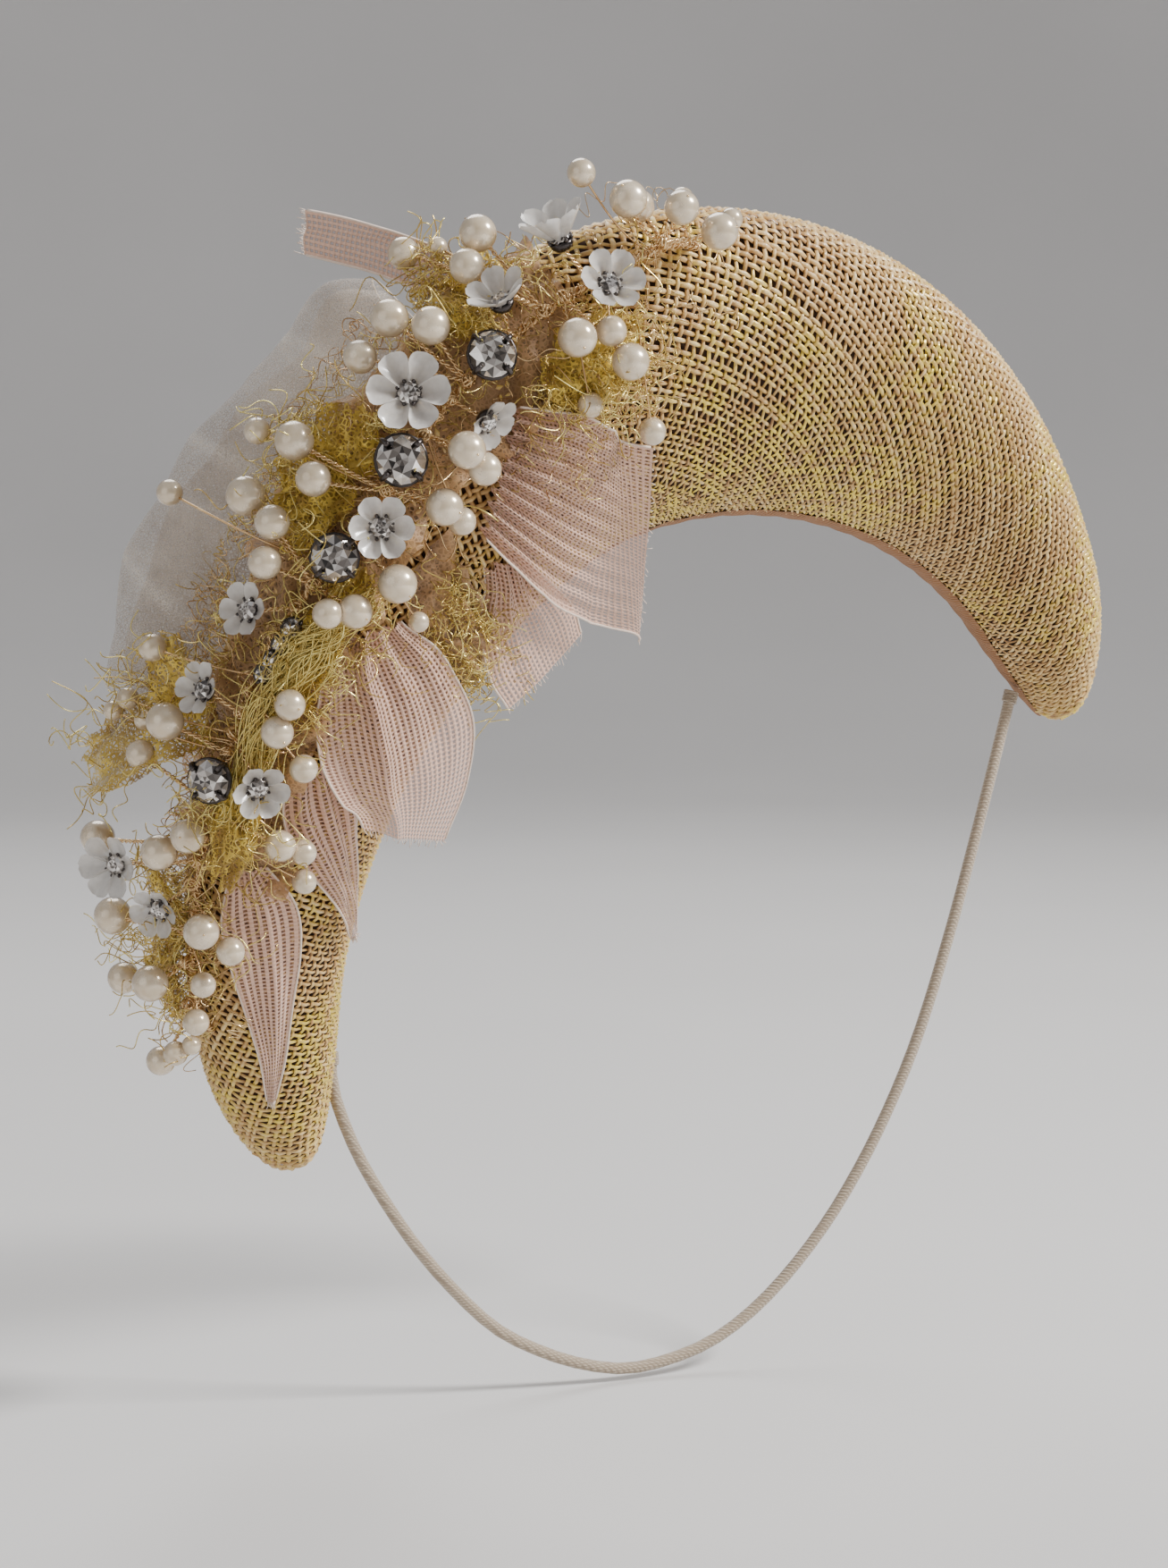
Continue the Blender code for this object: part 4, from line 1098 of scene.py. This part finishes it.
# Each spray's root along the stem, then its pearls' along, around, lift and diameter.
SPRAYS = (
    (5.0, ((3.0, -12, 15, 6.6), (4.6, -7, 8, 6.1), (5.6, -18, 15, 6.1), (8.0, -25, 13, 6.6))),
    (-2.5, ((-3.6, -37, 14, 6.8), (-1.0, -50.5, 13, 6.6))),
    (-3.9, ((-4.5, 0, 14, 6.5), (-6.3, -6, 14, 6.1), (-8.0, 14, 14, 5.6))),
    (-10.6, ((-11.8, -2, 14, 6.6), (-10.5, -12, 15, 6.6), (-14.6, -2, 13, 5.8))),
    (-15.0, ((-14.0, -39, 16, 6.5), (-13.8, -47, 14, 5.8))),
    (-19.4, ((-21.0, -2, 14, 6.8), (-22.0, -12, 14, 6.1), (-17.6, -45, 14, 6.5))),
    (-27.4, ((-25.5, 3, 14, 7), (-25.7, -8, 14, 6.1), (-28.0, -11, 14, 5.8),
             (-27.0, -39, 14, 6))),
    (-23.2, ((-23.7, -46, 14, 6.8),)),
    (-41.0, ((-41.0, 4, 14, 6.8),)),
    (-36.2, ((-35.0, -32, 14, 5.5), (-37.2, -31, 14, 5.8))),
    (-45.4, ((-44.5, 14, 14, 5.3), (-46.0, -43, 9, 5.8))),
    (-48.0, ((-47.5, -11, 14, 6.2), (-50.0, -1, 14, 6.5), (-53.5, 36, 18, 6.5))),
    (-56.4, ((-54.6, -18, 13.5, 6.6), (-59.0, 30, 15, 7.1))),
    (-59.5, ((-61.5, 3, 14, 6.8), (-64.0, 26, 14, 6))),
    (-63.8, ((-70.0, 8, 12, 5.6),)),
)
SMALL_PEARLS = (
    (1.5, -3, 17, 5), (0, -76, 9, 5), (-1.2, -41, 11.5, 5.4), (-22, 10, 15, 4.7),
    (-17.3, -54, 11, 5), (-28.4, 21, 21, 4.7), (-28.2, -32, 15, 5.3), (-37.5, 18, 15, 5),
    (-39, -43, 12, 5.1), (-46, -53, 9, 4.8), (-56, -28, 11, 5.3), (-60, -17, 11, 4.8),
    (-68.5, 0, 11, 4.7), (-64, -13, 11, 5), (7.2, -11, 10, 4.1), (10, -20, 10, 4.1),
    (-6.2, 10, 12, 3.7), (-4.2, -58, 9, 4.6), (-25, -62, 10, 3.7), (-42, 27, 16, 4.1),
    (-42.6, 21, 13, 3.7), (-43.5, 31, 18, 3.7), (-49, -58, 7, 4.6), (-67.5, -6, 9, 3.7),
)
# Root, along, around, lift, diameter, lean along and around, and how far it is closed.
FLOWERS = (
    (-0.6, -1.6, -16, 14, 17, 0, 50, 0.6), (1.2, -0.3, -30, 12, 13.3, 5, 10, 0.3),
    (-6.6, -6.2, -20, 13.5, 14, 0, 40, 0.45), (-13.6, -14.2, -19, 13, 14.7, 0, 0, 0.15),
    (-12.2, -11.3, -39, 8.5, 11.4, 5, -35, 0.25), (-21.4, -21.5, -34, 13, 13.3, 0, 5, 0.35),
    (-29.4, -31.2, -11, 10.5, 11.4, -5, 10, 0.3), (-37.8, -37.6, -5, 10.5, 11.4, 0, 10, 0.3),
    (-39.4, -41.8, -29, 11, 12.4, 0, -15, 0.35), (-50.2, -52.8, 14, 16, 14.5, 0, -20, 0.35),
    (-52.2, -54.8, 1.5, 11, 12, -8, -12, 0.4),
)
CRYSTALS = (
    (-8.6, -27, 13, 7.9), (-17.4, -28, 13, 8.4), (-25.0, -27, 13, 7.9), (-43.0, -14, 13, 7.6),
)
STRIP = ((-30.6, -24, 9.6), (-31.9, -23, 9.6), (-33.2, -22, 9.6), (-34.3, -21, 9.6))


def vine_place(along, above=0.0):
    """The vine's around and lift at a place along it."""
    table = np.array(VINE, float)
    around = np.interp(-along, -table[:, 0], table[:, 1])
    lift = np.interp(-along, -table[:, 0], table[:, 2])
    return around, lift + above


def knot_place(along):
    """The middle of the knot on the stem at a place along it."""
    return place(along, *vine_place(along, KNOT_RISE))


def wound(middle, ahead, turn, apart):
    """A path that is wound round another."""
    side = unit(np.cross(ahead, OBLIQUE))
    up = np.cross(side, ahead)
    return middle + (side * np.cos(turn)[:, None] + up * np.sin(turn)[:, None]) * apart


def twisted_pair(soup, path, radius=FINE_WIRE, apart=PAIR_APART, pitch=PAIR_PITCH, tint=0.5, sides=5):
    """Two fine wires wound round each other along a path."""
    path = np.asarray(path, float)
    lengths = lengths_of(path)
    even = np.linspace(0, lengths[-1], max(8, int(lengths[-1] / pitch * 8)))
    middle = read_off(even, lengths, path)
    ahead = unit(np.gradient(middle, axis=0))
    for phase in (0, pi):
        twisted = wound(middle, ahead, even / pitch * 2 * pi + phase, apart)
        wire(soup, twisted, radius, sides, 0, tint + 0.2 * (phase > 0))


def twig_path(root_along, along, around, lift, step=0.0):
    """A wire's way from the stem, low at first and then up to its end."""
    start_around, start_lift = vine_place(root_along, KNOT_RISE + step)
    t = np.linspace(0, 1, 14)
    return place(root_along + (along - root_along) * t, start_around + (around - start_around) * t,
                 start_lift + (lift - start_lift) * t ** 2.4)


def knot(soup, at, size, seed):
    """A few tight turns of wire."""
    draw = np.random.default_rng(seed)
    turn = np.linspace(0, 2 * pi * 1.6, 26)
    for _ in range(4):
        axis = unit(draw.normal(0, 1, 3))
        path = at + circle(turn, *frame_on(axis)) * size / 2 * draw.uniform(0.75, 1.05)
        path = path + np.outer(turn / turn[-1] - 0.5, axis) * size * 0.4
        wire(soup, path, FINE_WIRE, 5, 0, draw.uniform(0.3, 0.9))


def bead(soup, centre, diameter, axis):
    """A pearl, its bore along an axis."""
    sphere(soup, centre, diameter / 2, axis, 26, 16, 1)


def pearl_sprays():
    """Each spray: a knot on the stem, its twisted wires and its pearls."""
    for number, (root, pearls) in enumerate(SPRAYS, start=1):
        soup = Soup()
        knot(soup, knot_place(root), 2.4 * MM, 40 + number)
        for count, (along, around, lift, diameter) in enumerate(pearls):
            path = twig_path(root, along, around, lift, 0.13 * (count - 1))
            twisted_pair(soup, path)
            axis = unit(path[-1] - path[-4])
            bead(soup, path[-1], diameter * MM, axis)
            tip = path[-1] + axis * diameter / 2 * MM
            wire(soup, [tip - axis * 0.5 * MM, tip + axis * 0.15 * MM], FINE_WIRE, 6, 0, 0.9)
        name = f"pearl_spray_{number:02d}"
        keep(soup.build(name + "_pearls", [WIRE, PEARL]), "pearl", name)


def small_pearls():
    """The smaller pearls between the sprays, each on its own fine wire."""
    soup = Soup()
    for along, around, lift, diameter in SMALL_PEARLS:
        root = min(8.0, max(-67.0, along + 2.5))
        path = twig_path(root, along, around, lift, -1.2)
        wire(soup, path, FINE_WIRE, 5, 0, 0.4)
        bead(soup, path[-1], diameter * MM, unit(path[-1] - path[-4]))
    keep(soup.build("small_pearls", [WIRE, PEARL]), "pearl")


def vine_stem():
    """The stem of wires wound together, with a finer wire round it."""
    soup = Soup()
    table = curve_through(VINE, 150)
    path = place(*table.T)
    twisted_pair(soup, path, 0.42 * MM, 0.4 * MM, 4.0 * MM, 0.3, 6)
    lengths = lengths_of(path)
    fine = np.linspace(0, lengths[-1], 1100)
    ahead = unit(read_off(fine, lengths, unit(np.gradient(path, axis=0))))
    winding = wound(read_off(fine, lengths, path), ahead, fine / (1.5 * MM) * 2 * pi, 0.98 * MM)
    wire(soup, winding, 0.13 * MM, 4, 0, 0.8)
    keep(soup.build("vine_stem_wires", [WIRE]), "gold_wire", "vine_stem")


def loose_threads():
    """Fine gold and copper threads that tangle over and between the wires."""
    soup = Soup()
    draw = np.random.default_rng(77)

    def thread(path, thin, thick):
        """One thread of gold or copper, its radius drawn from a range in mm."""
        radius = draw.uniform(thin, thick) * MM
        wire(soup, path, radius, 3, int(draw.random() < 0.4), draw.uniform(0.2, 1))

    for _ in range(330):
        along = draw.uniform(-67, 7)
        around, lift = vine_place(along)
        around += draw.normal(0, 15)
        start = place(along, around, draw.uniform(3.5, 9.0))
        ahead = unit(place(along - draw.choice((-1, 1)) * 3, around + draw.normal(0, 10), lift) - start)
        thread(curl(draw, start, ahead, (5, 15), (0.8, 3.0), 34, 3.2), 0.08, 0.16)
    for low, high, first, last, count in ((-42, -12, 2, 42, 170), (-12, 4, -78, -45, 90),
                                          (-66, -46, 0, 26, 80)):
        for _ in range(count):
            along = draw.uniform(low, high)
            around = draw.uniform(first, last)
            lift = draw.uniform(2.0, 7.5) + (2.5 if first > 0 else 0)
            start = place(along, around, lift)
            beyond = place(along + draw.normal(0, 4), around + draw.normal(0, 14), lift)
            ahead = unit(beyond - start)
            thread(curl(draw, start, ahead, (4, 11), (0.5, 2.2), 28, 3.0), 0.07, 0.13)
    keep(soup.build("loose_gold_threads", [GOLD, WIRE]), "gold_wire")


def gold_skein():
    """A skein of bright gold threads that runs down over the strip and the lower leaves."""
    soup = Soup()
    draw = np.random.default_rng(88)
    spots = ((-25.5, -41, 9), (-28.5, -37, 10.5), (-31.5, -31, 11), (-35.0, -28, 10),
             (-39.0, -25.5, 9), (-43.5, -26, 8.5), (-48.0, -25, 7))
    points = 60
    table = curve_through(spots, points)
    t = np.linspace(0, 1, points)
    for _ in range(95):
        spread = draw.normal(0, 1.0, 3)
        phase = draw.uniform(0, 2 * pi, 3)
        first = int(draw.integers(0, 22))
        last = int(draw.integers(34, points))
        wave = 1.3 * np.sin(t * draw.uniform(10, 26) + phase[0])
        along = table[:, 0] + spread[0] * 0.5 + 0.35 * np.sin(t * 11 + phase[1])
        around = table[:, 1] + spread[1] * 3.2 + wave * 1.8
        lift = table[:, 2] + spread[2] * 0.9 + 0.8 * np.sin(t * draw.uniform(5, 14) + phase[2])
        path = place(along, around, np.maximum(lift, 3.2))[first:last]
        wire(soup, path, draw.uniform(0.1, 0.17) * MM, 3, 0, draw.uniform(0.4, 1.1))
    keep(soup.build("gold_skein_threads", [GOLD]), "gold_mesh")


def leaned(along, around, lean_along, lean_around):
    """The surface's direction leaned along the band and around its section."""
    up = normal_at(along, around)
    ahead = unit(place(along + 0.5, around) - place(along - 0.5, around))
    turn = unit(place(along, around + 2) - place(along, around - 2))
    return unit(up + ahead * sin(radians(lean_along)) * 1.2 + turn * sin(radians(lean_around)) * 1.6)


def cut_stone(soup, centre, axis, diameter, seed):
    """A round brilliant: table, stars, kites, girdle facets and pavilion, each facet flat."""
    draw = np.random.default_rng(seed)
    side, up = frame_on(axis)

    def ring(count, radius, height, offset=0.0):
        """A ring of corners; sizes are shares of half the diameter."""
        flat = circle((np.arange(count) + offset) * 2 * pi / count, side, up)
        return centre + (flat * radius + axis * height) * diameter / 2

    table = ring(8, 0.56, 0.36)
    mid = ring(8, 0.80, 0.22, 0.5)
    girdle = ring(16, 1.0, 0.0)
    low = ring(16, 1.0, -0.06)
    culet = centre - axis * diameter / 2 * 0.7
    middle = table.mean(axis=0)
    inner = middle + (mid - middle - axis * np.dot(mid[0] - middle, axis)) * 0.34
    facets = []
    for k in range(8):
        n = (k + 1) % 8
        a, b, c = girdle[2 * k], girdle[2 * k + 1], girdle[(2 * k + 2) % 16]
        facets += [
            (middle, inner[k - 1], inner[k]), (inner[k], table[k], table[n]),
            (inner[k - 1], table[k], inner[k]), (table[k], mid[k], table[n]),
            (table[k], a, mid[k]), (table[n], mid[k], c), (mid[k], a, b), (mid[k], b, c),
            (low[2 * k], culet, low[2 * k + 1]), (low[2 * k + 1], culet, low[(2 * k + 2) % 16])]
    for k in range(16):
        facets.append([girdle[k], low[k], low[(k + 1) % 16], girdle[(k + 1) % 16]])
    # Painted reflection: each facet gets a random tint, from near black to white, for the bright and dark
    # facets a real stone shows.
    for facet in facets:
        soup.add(np.array(facet), [tuple(range(len(facet)))], 0, draw.uniform(0.0, 1.0))


def lone_stone(name, centre, axis, diameter, seed):
    """A stone that is a piece of its own."""
    stone = Soup()
    cut_stone(stone, centre, axis, diameter, seed)
    keep(stone.build(name + "_stone", [STONE], smooth=False), "crystal")


# Radius and height along the cup and along a claw, as shares of half the stone's diameter.
CUP_PROFILE = ((0.45, -0.95), (0.62, -0.95), (0.70, -0.80), (1.02, -0.34),
               (1.10, -0.28), (1.10, -0.12), (1.02, -0.08), (0.9, -0.12))
CLAW_PROFILE = ((0.7, -0.9), (1.06, -0.3), (1.08, 0.1), (0.92, 0.3), (0.78, 0.33))
# The same in mm for the cup of a flower's stone.
SEAT_PROFILE = ((0.2, -0.4), (1.3, -0.3), (2.0, 0.5), (2.1, 1.3), (1.7, 1.4))


def spokes(axis, count, offset=0.5):
    """Even directions square to an axis."""
    side, up = frame_on(axis)
    for k in range(count):
        turn = 2 * pi * (k + offset) / count
        yield side * cos(turn) + up * sin(turn)


def claw_cup(soup, centre, axis, diameter):
    """A dark cup with four claws bent over the girdle."""
    half = diameter / 2
    lathe(soup, centre, axis, half, CUP_PROFILE, 20, 1)
    for out in spokes(axis, 4):
        points = [centre + out * half * radius + axis * half * height for radius, height in CLAW_PROFILE]
        wire(soup, curve_through(points, 10), np.linspace(0.10, 0.13, 10) * half, 6, 1, 0.8)


def petal(soup, centre, axis, out, reach, floor, rise, closing, seed):
    """One cupped petal with a rounded tip."""
    draw = np.random.default_rng(seed)
    across = np.cross(axis, out)
    rows, columns = 11, 9
    t = np.linspace(0.16, 1, rows)[:, None]
    share = np.linspace(-1, 1, columns)[None, :]
    tipping = np.where(t > 0.6, np.sqrt(np.maximum(0, 1 - ((t - 0.6) / 0.405) ** 2)), 1)
    half = reach * 0.49 * t ** 0.8 * tipping
    bowl = 0.17 * reach * (share ** 2) * np.sin(pi * np.clip(t * 0.9, 0, 1)) * draw.uniform(0.8, 1.5)
    outward = reach * t * (1 - 0.10 * closing * t)
    height = floor + (rise - floor) * t ** (1.7 - 0.5 * closing) + bowl
    height = height - 0.05 * reach * (t > 0.85) * (t - 0.85) / 0.15 * draw.uniform(-1, 1)
    outward = outward - bowl * closing * 0.8
    grid = (centre + outward[..., None] * out + height[..., None] * axis
            + (half * share)[..., None] * across)
    # Painted shade and highlight: the tint is darkest at the petal's root and lightest at its tip and
    # side edges.
    rim = np.clip(0.35 + 0.45 * t + 0.2 * np.abs(share), 0, 1)
    soup.add_grid(grid, 1, rim)


def flowers():
    """Each flower: six milky petals round a small set stone, on its stalk."""
    for number, row in enumerate(FLOWERS, start=1):
        root, along, around, lift, diameter, lean_along, lean_around, closing = row
        axis = leaned(along, around, lean_along, lean_around)
        centre = place(along, around, lift)
        foot = knot_place(root)
        size = diameter * MM
        reach = size / 2 * (1 - 0.5 * closing) * 1.06
        rise = size * (0.14 + 0.42 * closing)
        soup = Soup()
        knot(soup, foot, 2.2 * MM, 70 + number)
        twisted_pair(soup, [foot, (foot + centre) / 2 + axis * 0.4 * MM, centre])
        for k, out in enumerate(spokes(axis, 6, 0)):
            petal(soup, centre, axis, out, reach, 0.06 * size, rise, closing, 10 * number + k)
        lathe(soup, centre, axis, MM, SEAT_PROFILE, 16, 2)
        head = centre + axis * 1.75 * MM
        for out in spokes(axis, 8):
            sphere(soup, head + out * 2.1 * MM - axis * 0.1 * MM, 0.36 * MM, axis, 8, 5, 2, 0.8)
        name = f"flower_{number:02d}"
        keep(soup.build(name + "_petals", [WIRE, PETAL, CLAW]), "petal", name)
        lone_stone(name, head, axis, 3.9 * MM, 400 + number)


def crystals():
    """Each crystal: a round brilliant in its dark clawed cup on a wire post."""
    for number, (along, around, lift, diameter) in enumerate(CRYSTALS, start=1):
        axis = normal_at(along, around)
        centre = place(along, around, lift)
        foot = knot_place(along)
        soup = Soup()
        knot(soup, foot, 2.4 * MM, 90 + number)
        wire(soup, [foot, centre - axis * diameter * 0.4 * MM], 0.5 * MM, 6)
        claw_cup(soup, centre, axis, diameter * MM)
        name = f"crystal_{number}"
        keep(soup.build(name + "_setting", [WIRE, CLAW]), "crystal", name)
        lone_stone(name, centre, axis, diameter * MM, 500 + number)


def crystal_strip():
    """A short row of small set stones."""
    spots = [place(*row) for row in STRIP]
    soup = Soup()
    stones = Soup()
    wire(soup, [spots[0], spots[-1]], 1.1 * MM, 6, 1)
    for k, (row, spot) in enumerate(zip(STRIP, spots)):
        axis = leaned(row[0], row[1], 0, -25)
        claw_cup(soup, spot + axis * 0.7 * MM, axis, 3.8 * MM)
        cut_stone(stones, spot + axis * 0.8 * MM, axis, 3.8 * MM, 600 + k)
    foot = knot_place(STRIP[1][0])
    knot(soup, foot, 2.2 * MM, 99)
    wire(soup, [foot, spots[1]], 0.4 * MM, 5)
    keep(soup.build("crystal_strip_setting", [WIRE, CLAW]), "crystal", "crystal_strip")
    keep(stones.build("crystal_strip_stones", [STONE], smooth=False), "crystal")


stage_and_light()
elastic()
band_core()
straw_weave()
edge_binding()
tulle_base()
tulle_puff()
ribbons()
gold_tufts()
gauze_fringe()
vine_stem()
pearl_sprays()
small_pearls()
loose_threads()
gold_skein()
flowers()
crystals()
crystal_strip()

bpy.context.view_layer.update()
